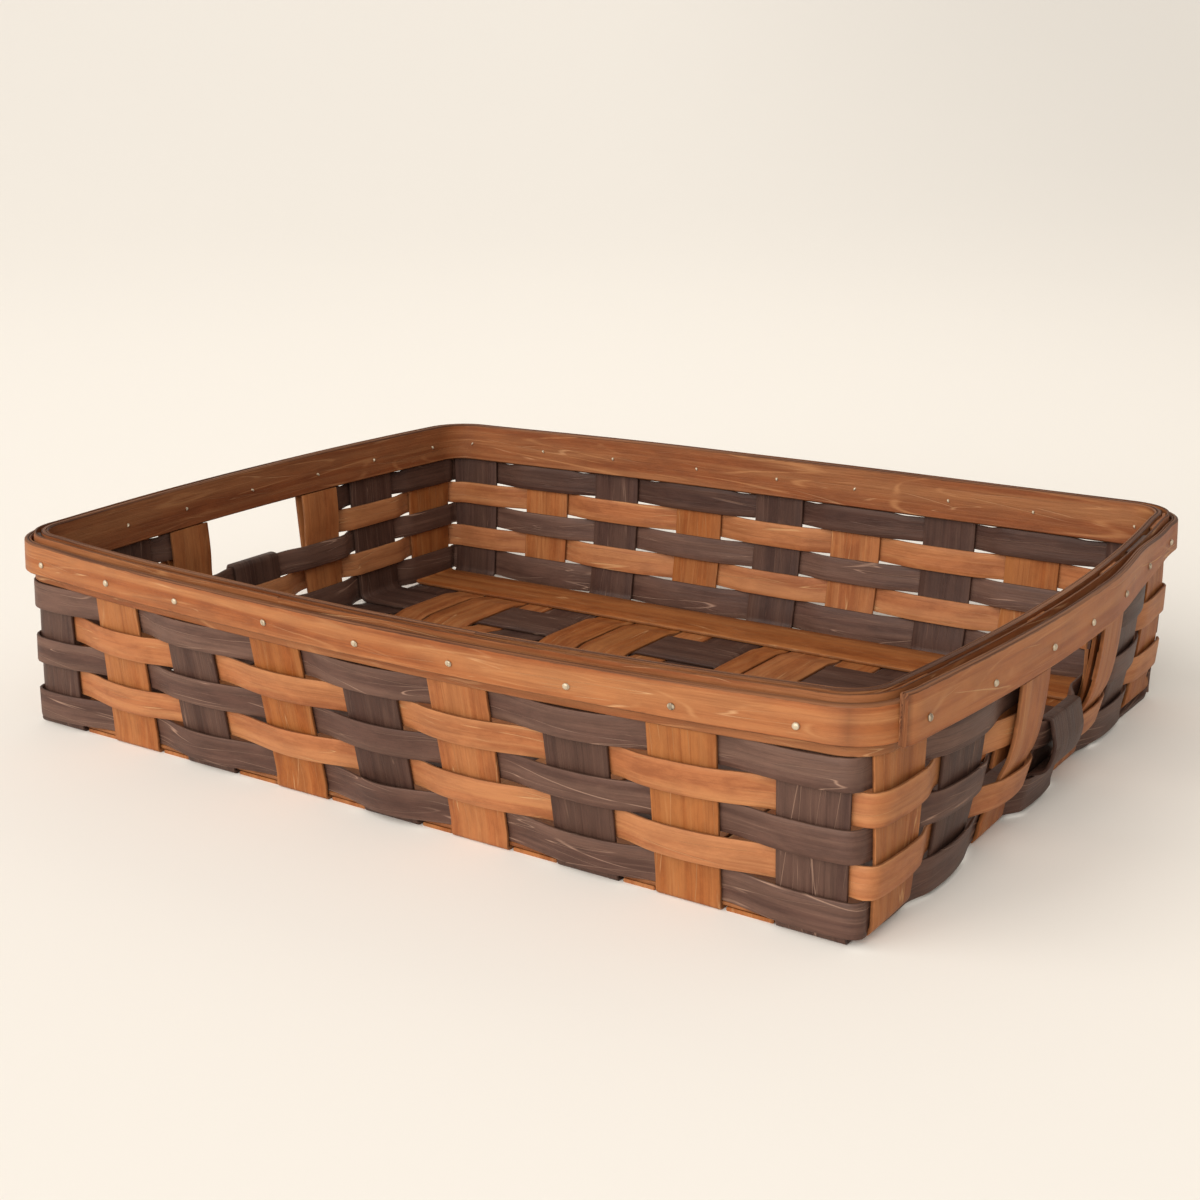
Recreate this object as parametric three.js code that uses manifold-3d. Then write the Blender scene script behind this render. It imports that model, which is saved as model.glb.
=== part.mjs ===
// A woven splint tray with a nailed rim and two hand holes.
// Millimetres, +Z up. The origin is the middle of the floor's underside.
// +X runs along the tray and -Y is its front.
import * as THREE from 'three';
import Module from 'manifold-3d';

// Driving dimensions of the splints
const stakeThickness = 1.6;
const crosswiseStakeWidth = 29;
const lengthwiseStakeWidth = 33.7;
const weaverThickness = 1.3;
const weaverWidth = 13.25;
const fillerGap = 1.5;

// How the stakes are laid out: even pitches, each stake a little off its place as laid by hand
const crosswisePitch = 50.8;
const crosswiseDrift = [-0.5, -0.2, -2.6, 2.1, 2.0, -1.5, 1.3, -2.9, -1.2];
const lengthwisePitch = 48.4;
const lengthwiseDrift = [-1, -2.5, -4, -5, -6, -6, -6];
const longWallCornerRoom = 8.5;
const shortWallCornerRoom = 6.15;

// The walls
const courseCount = 5;
const cutCourses = 2;
const courseGap = 0.5;
const bottomCourseOverlap = 0.7;
const bendRadius = 3;
const cornerRadiusBottom = 4;
const cornerRadiusTop = 20;
const weaverCrown = 0.9;

// How far each wall lies out of a plain rectangle, at its start, middle and end, along the floor and the rim
const frontFloorLine = [0, 0, 0];
const frontRimLine = [0, 18.5, 0];
const rightFloorLine = [-2.7, -5.4, -5.4];
const rightRimLine = [-2.7, 6.1, -1.2];
const backFloorLine = [-6.2, -6.6, -7];
const backRimLine = [5.5, 0.5, -4];
const leftFloorLine = [-4.2, -4.2, -4.2];
const leftRimLine = [-4, 4.5, -3];

// How much of a wall's lean comes low down: 1 for an even lean, more for a full, rounded wall
const evenLean = 1;
const fullLean = 2.5;

// The rim
const outerBandHeight = 19.5;
const outerBandThickness = 3.2;
const outerBevelDepth = 1.9;
const outerBevelHeight = 3.8;
const backingBandThickness = 1.6;
const backingBandDrop = 3.5;
const backingBandTopDrop = 1;
const innerBandThickness = 3.2;
const innerBandLift = 1.5;
const stakeTopDrop = 1.5;
const lapInnerEnd = 22;
const lapRamp = 40;
const lapOverhang = 11;

// Hand holes and nails
const linerWidthLoss = 1.5;
const linerTuck = 10;
const linerTurn = 8;
const foldRoom = 1.1;
const tailBow = 0.3;
const tailEase = 0.2;
const tailSettle = 1;
const tailTuck = 9;
const nailLift = 8.2;
const nailHeadRadius = 1.65;
const nailHeadTopRadius = 1.3;
const nailHeadThickness = 0.9;
const nailShankRadius = 0.8;
const nailTipLength = 0.6;

// Clearances
const layerGap = 0.3;
const wallGap = 0.5;
const crossingMargin = 0.5;
const nailClearance = 0.35;
const drillOvershoot = 6;

// How finely curves are divided
const largestArcStep = 0.27;
const cornerStep = 2.6;
const bendSteps = 3;
const foldSteps = 6;
const crownSteps = 2;
const rimLongSteps = 14;
const rimShortSteps = 10;
const rimCornerSteps = 8;
const nailSides = 6;

// Places that follow from the driving dimensions
const crosswiseCount = crosswiseDrift.length;
const lengthwiseCount = lengthwiseDrift.length;
const crosswisePlace = (i) => (i - (crosswiseCount - 1) / 2) * crosswisePitch + crosswiseDrift[i];
const lengthwisePlace = (j) => (j - (lengthwiseCount - 1) / 2) * lengthwisePitch + lengthwiseDrift[j];
const halfLength = ((crosswiseCount - 1) * crosswisePitch + crosswiseStakeWidth) / 2 + longWallCornerRoom;
const halfWidth = ((lengthwiseCount - 1) * lengthwisePitch + lengthwiseStakeWidth) / 2 + shortWallCornerRoom;
const isDarkCrosswise = (i) => i % 2 === 0;
const isDarkLengthwise = (j) => j % 2 === 1;
const isDarkCourse = (row) => row % 2 === 0;
const middleStake = (lengthwiseCount - 1) / 2;
const postStakes = [middleStake - 1, middleStake + 1];

const lowLevel = stakeThickness / 2;
const highLevel = lowLevel + stakeThickness + layerGap;
const bendTop = highLevel + bendRadius;
const coursePitch = weaverWidth + courseGap;
const courseBottom = (row) => bendTop - bottomCourseOverlap + row * coursePitch;
const courseTop = (row) => courseBottom(row) + weaverWidth;
const firstCutCourse = courseCount - cutCourses;
const backingBottom = courseTop(courseCount - 1) + layerGap;
const outerBottom = backingBottom + backingBandDrop;
const rimTop = outerBottom + outerBandHeight;
const innerBottom = backingBottom + innerBandLift;
const stakeTop = rimTop - stakeTopDrop;
const nailHeight = outerBottom + nailLift;

const weaverReach = stakeThickness / 2 + wallGap + weaverThickness / 2;
const tuckedReach = stakeThickness + wallGap;
const innerBandFace = stakeThickness / 2 + wallGap;
const backingFace = innerBandFace;
const outerFace = backingFace + backingBandThickness + wallGap;
const lapFace = outerFace + outerBandThickness + wallGap;
const courseOuterFace = weaverReach + weaverCrown + weaverThickness / 2;
const foldRadius = (courseOuterFace + foldRoom + stakeThickness / 2) / 2;

// Finishes
function finish(color, roughness, metalness = 0) {
  return new THREE.MeshStandardMaterial({ color, roughness, metalness });
}
const lightWood = () => finish(0xa8683a, 0.7);
const darkWood = () => finish(0x54403c, 0.75);
const rimWood = () => finish(0xb07145, 0.65);
const nailMetal = () => finish(0xb9b2a4, 0.4, 0.9);
const splintFinish = (dark) => (dark ? darkWood() : lightWood());

// The four walls in the order met when walking round the tray, each with its outward normal and its direction
const sides = [
  wall([0, -1], [1, 0], halfWidth, halfLength, frontFloorLine, frontRimLine, evenLean),
  wall([1, 0], [0, 1], halfLength, halfWidth, rightFloorLine, rightRimLine, fullLean),
  wall([0, 1], [-1, 0], halfWidth, halfLength, backFloorLine, backRimLine, fullLean),
  wall([-1, 0], [0, -1], halfLength, halfWidth, leftFloorLine, leftRimLine, fullLean),
];
const [frontSide, rightSide, backSide, leftSide] = [0, 1, 2, 3];

function wall(normal, along, reach, run, floorLine, rimLine, fullness) {
  return { normal, along, reach, run, floorLine, rimLine, fullness };
}

function lean(z) {
  return Math.max(0, (z - bendTop) / (rimTop - bendTop));
}

function cornerRadius(z) {
  return cornerRadiusBottom + (cornerRadiusTop - cornerRadiusBottom) * lean(z);
}

// A smooth line through values at a wall's start, middle and end
function onLine([start, middle, end], t) {
  const chord = start + (end - start) * (t + 1) / 2;
  return chord + (middle - (start + end) / 2) * (1 - t * t);
}

// How far out of the plain rectangle a wall lies, held level round its corners
function outOfSquare(side, u, z) {
  const { floorLine, rimLine, fullness, run } = sides[side];
  const t = THREE.MathUtils.clamp(u / (run - cornerRadiusTop), -1, 1);
  const rise = 1 - (1 - lean(z)) ** fullness;
  const floor = onLine(floorLine, t);
  return floor + (onLine(rimLine, t) - floor) * rise;
}

// Distance along a wall to where the wall beyond its corner runs
function runTo(side, direction, z) {
  const beyond = (side + (direction > 0 ? 1 : 3)) % sides.length;
  return sides[side].run + outOfSquare(beyond, -direction * sides[beyond].run, z);
}

// Where the corner's middle lies, measured along the wall
function cornerMiddle(side, direction, z) {
  const radius = cornerRadius(z);
  return direction * (runTo(side, direction, z) - radius + radius * Math.PI / 4);
}

// How far a wall runs before its rim curves round a corner
function straightEnd(side, direction) {
  return direction * (runTo(side, direction, rimTop) - cornerRadiusTop);
}

// A point on a wall: u along it, height z, and n outwards from the stakes' middle surface
function wallPoint(side, u, z, n, straight = false) {
  const { normal, along } = sides[side];
  const radius = cornerRadius(z);
  const arcStart = runTo(side, Math.sign(u), z) - radius;
  const reach = sides[side].reach + outOfSquare(side, u, z);
  let distance = reach + n;
  let offset = u;
  if (!straight && Math.abs(u) > arcStart) {
    const angle = (Math.abs(u) - arcStart) / radius;
    distance = reach - radius + (radius + n) * Math.cos(angle);
    offset = Math.sign(u) * (arcStart + (radius + n) * Math.sin(angle));
  }
  return new THREE.Vector3(
    normal[0] * distance + along[0] * offset,
    normal[1] * distance + along[1] * offset,
    z,
  );
}

// A closed solid through sections of two facing rows of points; a ring has no end caps
function stripGeometry(sections, ring = false) {
  const width = sections[0].outer.length;
  const around = 2 * width;
  const points = sections.flatMap(({ outer, inner }) => [...outer, ...inner.slice().reverse()]);
  const triangles = [];
  const quad = (a, b, c, d) => triangles.push([a, b, c], [a, c, d]);
  const lastSection = ring ? sections.length : sections.length - 1;
  for (let s = 0; s < lastSection; s++) {
    const here = s * around;
    const next = ((s + 1) % sections.length) * around;
    for (let k = 0; k < around; k++) {
      const k1 = (k + 1) % around;
      quad(here + k, here + k1, next + k1, next + k);
    }
  }
  if (!ring) {
    const end = (sections.length - 1) * around;
    for (let k = 0; k < width - 1; k++) {
      quad(k, around - 1 - k, around - 2 - k, k + 1);
      quad(end + k, end + k + 1, end + around - 2 - k, end + around - 1 - k);
    }
  }
  return closedGeometry(points, triangles);
}

// An indexed geometry with its faces pointing out
function closedGeometry(points, triangles) {
  let volume = 0;
  for (const [a, b, c] of triangles) {
    volume += points[a].dot(new THREE.Vector3().crossVectors(points[b], points[c]));
  }
  const index = triangles.flatMap(([a, b, c]) => (volume > 0 ? [a, b, c] : [a, c, b]));
  const geometry = new THREE.BufferGeometry();
  const coordinates = points.flatMap((p) => [p.x, p.y, p.z]);
  geometry.setAttribute('position', new THREE.Float32BufferAttribute(coordinates, 3));
  geometry.setIndex(index);
  return geometry;
}

function spread(from, to, steps) {
  return Array.from({ length: steps + 1 }, (_, k) => from + (to - from) * k / steps);
}

// How far both walls that a stake climbs run before either curves round a corner
function leastStraight(side) {
  const facing = (side + 2) % sides.length;
  return Math.min(...[side, facing].flatMap((s) => [straightEnd(s, 1), -straightEnd(s, -1)]));
}

// Places across a stake's width, closer together where the wall curves round a corner
function acrossPoints(centre, width, straight, straightSteps) {
  const outerEdge = Math.abs(centre) + width / 2;
  if (outerEdge <= straight) return spread(centre - width / 2, centre + width / 2, straightSteps);
  const innerEdge = Math.abs(centre) - width / 2;
  const steps = Math.ceil((outerEdge - straight) / cornerStep);
  const fromMiddle = [innerEdge, ...spread(straight, outerEdge, steps)];
  return centre > 0 ? fromMiddle : fromMiddle.map((c) => -c).reverse();
}

// The two faces of a splint that climbs a wall along a path of [n, z] points
function climb(side, us, path, thickness) {
  return path.map(([n, z], k) => {
    const [n0, z0] = path[Math.max(0, k - 1)];
    const [n1, z1] = path[Math.min(path.length - 1, k + 1)];
    const length = Math.hypot(n1 - n0, z1 - z0);
    const dn = (z1 - z0) / length * thickness / 2;
    const dz = -(n1 - n0) / length * thickness / 2;
    return {
      outer: us.map((u) => wallPoint(side, u, z + dz, n + dn)),
      inner: us.map((u) => wallPoint(side, u, z - dz, n - dn)),
    };
  });
}

// The bend from the floor up into a wall, from the floor's end to the wall's foot
function bend(side, us, level) {
  const half = stakeThickness / 2;
  const { normal, along } = sides[side];
  const place = (u, radius, angle) => {
    const reach = sides[side].reach + outOfSquare(side, u, 0);
    const distance = reach - bendRadius + radius * Math.sin(angle);
    const z = level + bendRadius - radius * Math.cos(angle);
    return new THREE.Vector3(normal[0] * distance + along[0] * u, normal[1] * distance + along[1] * u, z);
  };
  return spread(0, Math.PI / 2, bendSteps).map((angle) => ({
    outer: us.map((u) => place(u, bendRadius + half, angle)),
    inner: us.map((u) => place(u, bendRadius - half, angle)),
  }));
}

// The two faces of a splint along the floor, through [along, level] points
function lie(toPoint, across, path) {
  const half = stakeThickness / 2;
  return path.map(([along, level]) => ({
    outer: across.map((c) => toPoint(along, c, level - half)),
    inner: across.map((c) => toPoint(along, c, level + half)),
  }));
}

// Crosswise strips of the floor in order along X: each filler goes over and under with the stake on its right
const floorStrips = [];
for (let i = 0; i < crosswiseCount; i++) {
  const half = crosswiseStakeWidth / 2;
  if (i > 0) {
    const left = crosswisePlace(i - 1) + half + fillerGap;
    const right = crosswisePlace(i) - half - fillerGap;
    floorStrips.push({ filler: i - 1, left, right, dark: isDarkCrosswise(i) });
  }
  const [left, right] = [crosswisePlace(i) - half, crosswisePlace(i) + half];
  floorStrips.push({ left, right, dark: isDarkCrosswise(i) });
}

// The outermost lengthwise stakes lie on top of everything; the others cross over strips of their own colour
function lengthwiseIsOver(j, stripDark) {
  const outermost = j === 0 || j === lengthwiseCount - 1;
  return outermost || isDarkLengthwise(j) === stripDark;
}

function crosswiseFloorPath(stripDark) {
  const half = lengthwiseStakeWidth / 2;
  const path = [];
  for (let j = 0; j < lengthwiseCount; j++) {
    const level = lengthwiseIsOver(j, stripDark) ? lowLevel : highLevel;
    path.push([lengthwisePlace(j) - half, level], [lengthwisePlace(j) + half, level]);
  }
  return withoutLevelRuns(path);
}

function lengthwiseFloorPath(j) {
  const path = [];
  for (const strip of floorStrips) {
    const level = lengthwiseIsOver(j, strip.dark) ? highLevel : lowLevel;
    path.push([strip.left, level], [strip.right, level]);
  }
  return withoutLevelRuns(path);
}

// Drops points inside a stretch that stays at one level
function withoutLevelRuns(path) {
  return path.filter(([, level], k) => {
    const inside = k > 0 && k < path.length - 1;
    return !(inside && path[k - 1][1] === level && path[k + 1][1] === level);
  });
}

// Heights at which a stake has a section on its wall
function heights(foot) {
  const edges = Array.from({ length: courseCount }, (_, row) => [courseBottom(row), courseTop(row)]).flat();
  const above = [bendTop, ...edges.slice(1), stakeTop];
  return foot < bendTop ? [foot, ...above] : above;
}

// A stake's sections from the top of one wall, down, across the floor and up the other wall
function stakeSections({ start, end, centre, width, toPoint, floorPath, wallPath }) {
  const across = acrossPoints(centre, width, leastStraight(start), 1);
  const mirrored = across.map((c) => -c);
  const startUs = start === frontSide ? across : mirrored;
  const endUs = start === frontSide ? mirrored : across;
  const startLevel = floorPath[0][1];
  const endLevel = floorPath[floorPath.length - 1][1];
  const up = (side, us, level) => {
    const foot = level + bendRadius;
    const path = wallPath ? wallPath(foot) : heights(foot).map((z) => [0, z]);
    return climb(side, us, path, stakeThickness).slice(1);
  };
  return [
    ...up(start, startUs, startLevel).reverse(),
    ...bend(start, startUs, startLevel).reverse(),
    ...lie(toPoint, across, floorPath.slice(1, -1)),
    ...bend(end, endUs, endLevel),
    ...up(end, endUs, endLevel),
  ];
}

function crosswiseStake(i) {
  return stripGeometry(stakeSections({
    start: frontSide,
    end: backSide,
    centre: crosswisePlace(i),
    width: crosswiseStakeWidth,
    toPoint: (along, across, z) => new THREE.Vector3(across, along, z),
    floorPath: crosswiseFloorPath(isDarkCrosswise(i)),
  }));
}

function lengthwiseStake(j) {
  return stripGeometry(stakeSections({
    start: leftSide,
    end: rightSide,
    centre: lengthwisePlace(j),
    width: lengthwiseStakeWidth,
    toPoint: (along, across, z) => new THREE.Vector3(along, across, z),
    floorPath: lengthwiseFloorPath(j),
    wallPath: j === middleStake ? foldedPath : undefined,
  }));
}

// The middle stake folds out over the last whole course and comes down outside, behind the bottom course
function foldedPath(foot) {
  const sill = courseTop(firstCutCourse - 1);
  const foldHeight = sill + wallGap + stakeThickness / 2;
  const tailN = 2 * foldRadius;
  const fold = spread(0, Math.PI, foldSteps).map((angle) => [
    foldRadius - foldRadius * Math.cos(angle),
    foldHeight + foldRadius * Math.sin(angle),
  ]);
  const rise = heights(foot).filter((z) => z < sill).map((z) => [0, z]);
  return [
    ...rise,
    ...fold,
    [tailN + tailBow, courseBottom(firstCutCourse - 1)],
    [tailN + tailBow, courseTop(1)],
    [tailN - tailEase, courseBottom(1)],
    [tuckedReach, courseTop(0) + tailSettle],
    [tuckedReach, courseTop(0) - tailTuck],
  ];
}

function floorFiller(strip) {
  const across = [strip.left, strip.right];
  const toPoint = (along, c, z) => new THREE.Vector3(c, along, z);
  return stripGeometry(lie(toPoint, across, crosswiseFloorPath(strip.dark)));
}

// Stakes met along a wall, in walking order
function crossings(side) {
  const list = [];
  const isLong = side === frontSide || side === backSide;
  const count = isLong ? crosswiseCount : lengthwiseCount;
  const direction = side === frontSide || side === rightSide ? 1 : -1;
  for (let k = 0; k < count; k++) {
    const stake = direction > 0 ? k : count - 1 - k;
    const u = direction * (isLong ? crosswisePlace(stake) : lengthwisePlace(stake));
    const width = isLong ? crosswiseStakeWidth : lengthwiseStakeWidth;
    const dark = isLong ? isDarkCrosswise(stake) : isDarkLengthwise(stake);
    list.push({ side, stake, isLong, u, width, dark });
  }
  return list;
}

// Extra room where a splint's end is tucked between a stake and a course
function tuckedRoom(row, crossing) {
  if (crossing.isLong) return 0;
  const underTail = row === 0 && crossing.stake === middleStake;
  const underOuterLiner = row === firstCutCourse - 2 && postStakes.includes(crossing.stake);
  const underInnerLiner = row === firstCutCourse - 1 && postStakes.includes(crossing.stake);
  return underTail || underOuterLiner || underInnerLiner ? tuckedReach : 0;
}

// Stations of a course past one stake, with more of them where the wall curves
function crossingStations(row, crossing) {
  const { side, u, width, dark } = crossing;
  const outside = dark === isDarkCourse(row);
  const sign = outside ? 1 : -1;
  const reach = weaverReach + tuckedRoom(row, crossing);
  const crown = outside ? weaverCrown : 0;
  const places = acrossPoints(u, width, leastStraight(side), outside ? crownSteps : 1);
  const last = places.length - 1;
  return places.map((place, k) => {
    const past = k === 0 ? -crossingMargin : k === last ? crossingMargin : 0;
    const s = (place - u) / (width / 2);
    return { side, u: () => place + past, n: sign * (reach + crown * (1 - s * s)) };
  });
}

// Stations round the corner between the last stake of one wall and the first of the next
function cornerStations(last, first) {
  const steps = Math.ceil(Math.PI / 4 / largestArcStep);
  const stations = [];
  for (let s = 1; s <= steps; s++) {
    const edge = last.u();
    const f = s / steps;
    const n = last.n + (first.n - last.n) * f / 2;
    stations.push({ side: last.side, u: (h) => edge + (cornerMiddle(last.side, 1, h) - edge) * f, n });
  }
  for (let s = 1; s < steps; s++) {
    const edge = first.u();
    const f = 1 - s / steps;
    const n = first.n + (last.n - first.n) * f / 2;
    stations.push({ side: first.side, u: (h) => edge + (cornerMiddle(first.side, -1, h) - edge) * f, n });
  }
  return stations;
}

function courseSections(row, stations) {
  const low = courseBottom(row);
  const high = courseTop(row);
  const half = weaverThickness / 2;
  return stations.map(({ side, u, n }) => ({
    outer: [low, high].map((z) => wallPoint(side, u(z), z, n + half)),
    inner: [low, high].map((z) => wallPoint(side, u(z), z, n - half)),
  }));
}

// All stations of a course over a list of crossings in walking order
function stationsAlong(row, list, ring) {
  const stations = [];
  list.forEach((crossing, k) => {
    const own = crossingStations(row, crossing);
    stations.push(...own);
    const next = list[k + 1] ?? (ring ? list[0] : undefined);
    if (next && next.side !== crossing.side) {
      stations.push(...cornerStations(own[own.length - 1], crossingStations(row, next)[0]));
    }
  });
  return stations;
}

const allCrossings = [frontSide, rightSide, backSide, leftSide].flatMap(crossings);

function wholeCourse(row) {
  return stripGeometry(courseSections(row, stationsAlong(row, allCrossings, true)), true);
}

// Half of a course that is cut at the hand holes, from one short wall's post round to the other's
function halfCourse(row, front) {
  const post = front ? postStakes[0] : postStakes[1];
  const beside = (c) => (front ? c.stake <= post : c.stake >= post);
  const left = crossings(leftSide).filter(beside);
  const right = crossings(rightSide).filter(beside);
  const list = front
    ? [...left, ...crossings(frontSide), ...right]
    : [...right, ...crossings(backSide), ...left];
  return stripGeometry(courseSections(row, stationsAlong(row, list, false)));
}

// Liners cover the cut ends of the upper courses on both faces of a post and tuck in behind a lower course
function liner(side, stake, outside) {
  const direction = side === rightSide ? 1 : -1;
  const half = (lengthwiseStakeWidth - linerWidthLoss) / 2;
  const u = direction * lengthwisePlace(stake);
  const sign = outside ? 1 : -1;
  const sill = courseTop(firstCutCourse - 1);
  const courseFace = outside ? courseOuterFace : weaverReach + weaverThickness / 2;
  const coverN = sign * (courseFace + wallGap + stakeThickness / 2);
  const tuckedN = sign * tuckedReach;
  const tuckRow = outside ? firstCutCourse - 2 : firstCutCourse - 1;
  const top = (outside ? backingBottom : innerBottom) - layerGap;
  const turnTop = courseBottom(outside ? firstCutCourse : firstCutCourse + 1) - wallGap;
  const turnBottom = outside ? sill - linerTurn : sill + wallGap;
  const path = [
    [coverN, top],
    [coverN, turnTop],
    [tuckedN, turnBottom],
    [tuckedN, courseTop(tuckRow) - linerTuck],
  ];
  return stripGeometry(climb(side, [u - half, u + half], path, stakeThickness));
}

// A point on the rounded corner after a wall, at an angle from that wall's normal towards the next wall's
function cornerPoint(side, angle, z, n) {
  const { normal, along, run } = sides[side];
  const radius = cornerRadius(z);
  const reach = sides[side].reach + outOfSquare(side, run, z);
  const distance = reach - radius + (radius + n) * Math.cos(angle);
  const offset = runTo(side, 1, z) - radius + (radius + n) * Math.sin(angle);
  return new THREE.Vector3(
    normal[0] * distance + along[0] * offset,
    normal[1] * distance + along[1] * offset,
    z,
  );
}

// Places round the rim, on walls by distance along them and on corners by angle
function bandStations() {
  const stations = [];
  for (const side of [rightSide, backSide, leftSide, frontSide]) {
    const steps = side === frontSide || side === backSide ? rimLongSteps : rimShortSteps;
    for (const u of spread(straightEnd(side, -1), straightEnd(side, 1), steps)) stations.push({ side, u });
    for (const angle of spread(0, Math.PI / 2, rimCornerSteps).slice(1, -1)) stations.push({ side, angle });
  }
  return stations;
}

// Sections of a band from its [height, inner n, outer n] profile, pushed out by an extra n where it laps
function bandSections(stations, profile) {
  const place = ({ side, u, angle, push = 0 }, z, n) => {
    if (angle !== undefined) return cornerPoint(side, angle, z, n);
    return wallPoint(side, u, z, n + push, true);
  };
  return stations.map((station) => ({
    outer: profile.map(([z, , n]) => place(station, z, n)),
    inner: profile.map(([z, n]) => place(station, z, n)),
  }));
}

function innerBand() {
  const face = -innerBandFace;
  const back = face - innerBandThickness;
  return stripGeometry(bandSections(bandStations(), [[innerBottom, back, face], [rimTop, back, face]]), true);
}

function backingBand() {
  const back = backingFace + backingBandThickness;
  const top = rimTop - backingBandTopDrop;
  const profile = [[backingBottom, backingFace, back], [top, backingFace, back]];
  return stripGeometry(bandSections(bandStations(), profile), true);
}

// The outer band starts at its free end by the front right corner, runs all round and ends under itself
function outerBand() {
  const face = outerFace + outerBandThickness;
  const profile = [
    [outerBottom, outerFace, face],
    [rimTop - outerBevelHeight, outerFace, face],
    [rimTop, outerFace, face - outerBevelDepth],
  ];
  const push = lapFace - outerFace;
  const ring = bandStations();
  const onRight = ring.filter((s) => s.side === rightSide && s.u !== undefined);
  const underlap = [...onRight.filter((s) => s.u < lapInnerEnd), { side: rightSide, u: lapInnerEnd }];
  const freeEnd = { side: rightSide, u: straightEnd(rightSide, -1) - lapOverhang };
  const lap = [freeEnd, ...underlap].map((station) => ({ ...station, push }));
  const rest = ring.filter((s) => !(onRight.includes(s) && s.u < lapInnerEnd + lapRamp));
  return stripGeometry(bandSections([...lap, ...rest, ...underlap], profile));
}

// A nail along -Y or +Y through the rim at a crosswise stake
function nailSections(radii, sign, x, z, ys) {
  const angles = spread(0, 2 * Math.PI, nailSides).slice(0, nailSides);
  return ys.map((y, k) => angles.map((angle) => new THREE.Vector3(
    x + radii[k] * Math.cos(angle),
    sign * y,
    z + radii[k] * Math.sin(angle),
  )));
}

function roundBar(rings) {
  const points = rings.flat();
  const last = (rings.length - 1) * nailSides;
  const triangles = [];
  for (let s = 0; s < rings.length - 1; s++) {
    for (let k = 0; k < nailSides; k++) {
      const k1 = (k + 1) % nailSides;
      const here = s * nailSides;
      const next = here + nailSides;
      triangles.push([here + k, here + k1, next + k1], [here + k, next + k1, next + k]);
    }
  }
  for (let k = 1; k < nailSides - 1; k++) {
    triangles.push([0, k + 1, k], [last, last + k, last + k + 1]);
  }
  return closedGeometry(points, triangles);
}

function nailPlace(i, front) {
  const side = front ? frontSide : backSide;
  const x = crosswisePlace(i);
  const base = wallPoint(side, front ? x : -x, nailHeight, 0);
  return { x, wall: Math.abs(base.y), sign: Math.sign(base.y) };
}

function nail(i, front) {
  const { x, wall, sign } = nailPlace(i, front);
  const head = wall + outerFace + outerBandThickness + layerGap;
  const tip = wall - innerBandFace - innerBandThickness - nailTipLength;
  const radii = [nailShankRadius, nailShankRadius, nailHeadRadius, nailHeadTopRadius];
  return roundBar(nailSections(radii, sign, x, nailHeight, [tip, head, head, head + nailHeadThickness]));
}

function nailHole(i, front) {
  const { x, wall, sign } = nailPlace(i, front);
  const inside = wall - innerBandFace - innerBandThickness - drillOvershoot;
  const outside = wall + outerFace + outerBandThickness + drillOvershoot;
  const radius = nailShankRadius + nailClearance;
  return roundBar(nailSections([radius, radius], sign, x, nailHeight, [inside, outside]));
}

// Boolean cuts
const wasm = await Module();
wasm.setup();

function solid(geometry) {
  return new wasm.Manifold(new wasm.Mesh({
    numProp: 3,
    vertProperties: Float32Array.from(geometry.attributes.position.array),
    triVerts: Uint32Array.from(geometry.index.array),
  }));
}

function drilled(geometry, holes) {
  const cut = holes.reduce((body, hole) => body.subtract(solid(hole)), solid(geometry));
  const mesh = cut.getMesh();
  const result = new THREE.BufferGeometry();
  result.setAttribute('position', new THREE.Float32BufferAttribute(mesh.vertProperties, 3));
  result.setIndex(Array.from(mesh.triVerts));
  return result;
}

// The tray
const tray = new THREE.Group();

function add(name, geometry, material) {
  const mesh = new THREE.Mesh(geometry, material);
  mesh.name = name;
  tray.add(mesh);
}

const nailFaces = [['front', true], ['back', false]];
const crosswiseIndices = Array.from({ length: crosswiseCount }, (_, i) => i);
const allHoles = crosswiseIndices.flatMap((i) => nailFaces.map(([, front]) => nailHole(i, front)));

for (const i of crosswiseIndices) {
  const holes = nailFaces.map(([, front]) => nailHole(i, front));
  add(`crosswise_stake_${i + 1}`, drilled(crosswiseStake(i), holes), splintFinish(isDarkCrosswise(i)));
}
for (let j = 0; j < lengthwiseCount; j++) {
  add(`lengthwise_stake_${j + 1}`, lengthwiseStake(j), splintFinish(isDarkLengthwise(j)));
}
for (const strip of floorStrips.filter((s) => s.filler !== undefined)) {
  add(`floor_filler_${strip.filler + 1}`, floorFiller(strip), lightWood());
}
for (let row = 0; row < courseCount; row++) {
  const wood = () => splintFinish(isDarkCourse(row));
  if (row < firstCutCourse) {
    add(`weaver_course_${row + 1}`, wholeCourse(row), wood());
  } else {
    add(`weaver_course_${row + 1}_front`, halfCourse(row, true), wood());
    add(`weaver_course_${row + 1}_back`, halfCourse(row, false), wood());
  }
}
for (const [sideName, side] of [['right', rightSide], ['left', leftSide]]) {
  for (const [postName, stake] of [['front', postStakes[0]], ['back', postStakes[1]]]) {
    add(`hole_liner_${sideName}_${postName}_outer`, liner(side, stake, true), lightWood());
    add(`hole_liner_${sideName}_${postName}_inner`, liner(side, stake, false), lightWood());
  }
}
add('rim_inner_band', drilled(innerBand(), allHoles), rimWood());
add('rim_backing_band', drilled(backingBand(), allHoles), rimWood());
add('rim_outer_band', drilled(outerBand(), allHoles), rimWood());
for (const i of crosswiseIndices) {
  for (const [faceName, front] of nailFaces) {
    add(`rim_nail_${faceName}_${i + 1}`, nail(i, front), nailMetal());
  }
}

export default tray;
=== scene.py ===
"""A woven splint tray with a nailed rim and two hand holes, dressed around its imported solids."""

import copy
import math

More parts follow.
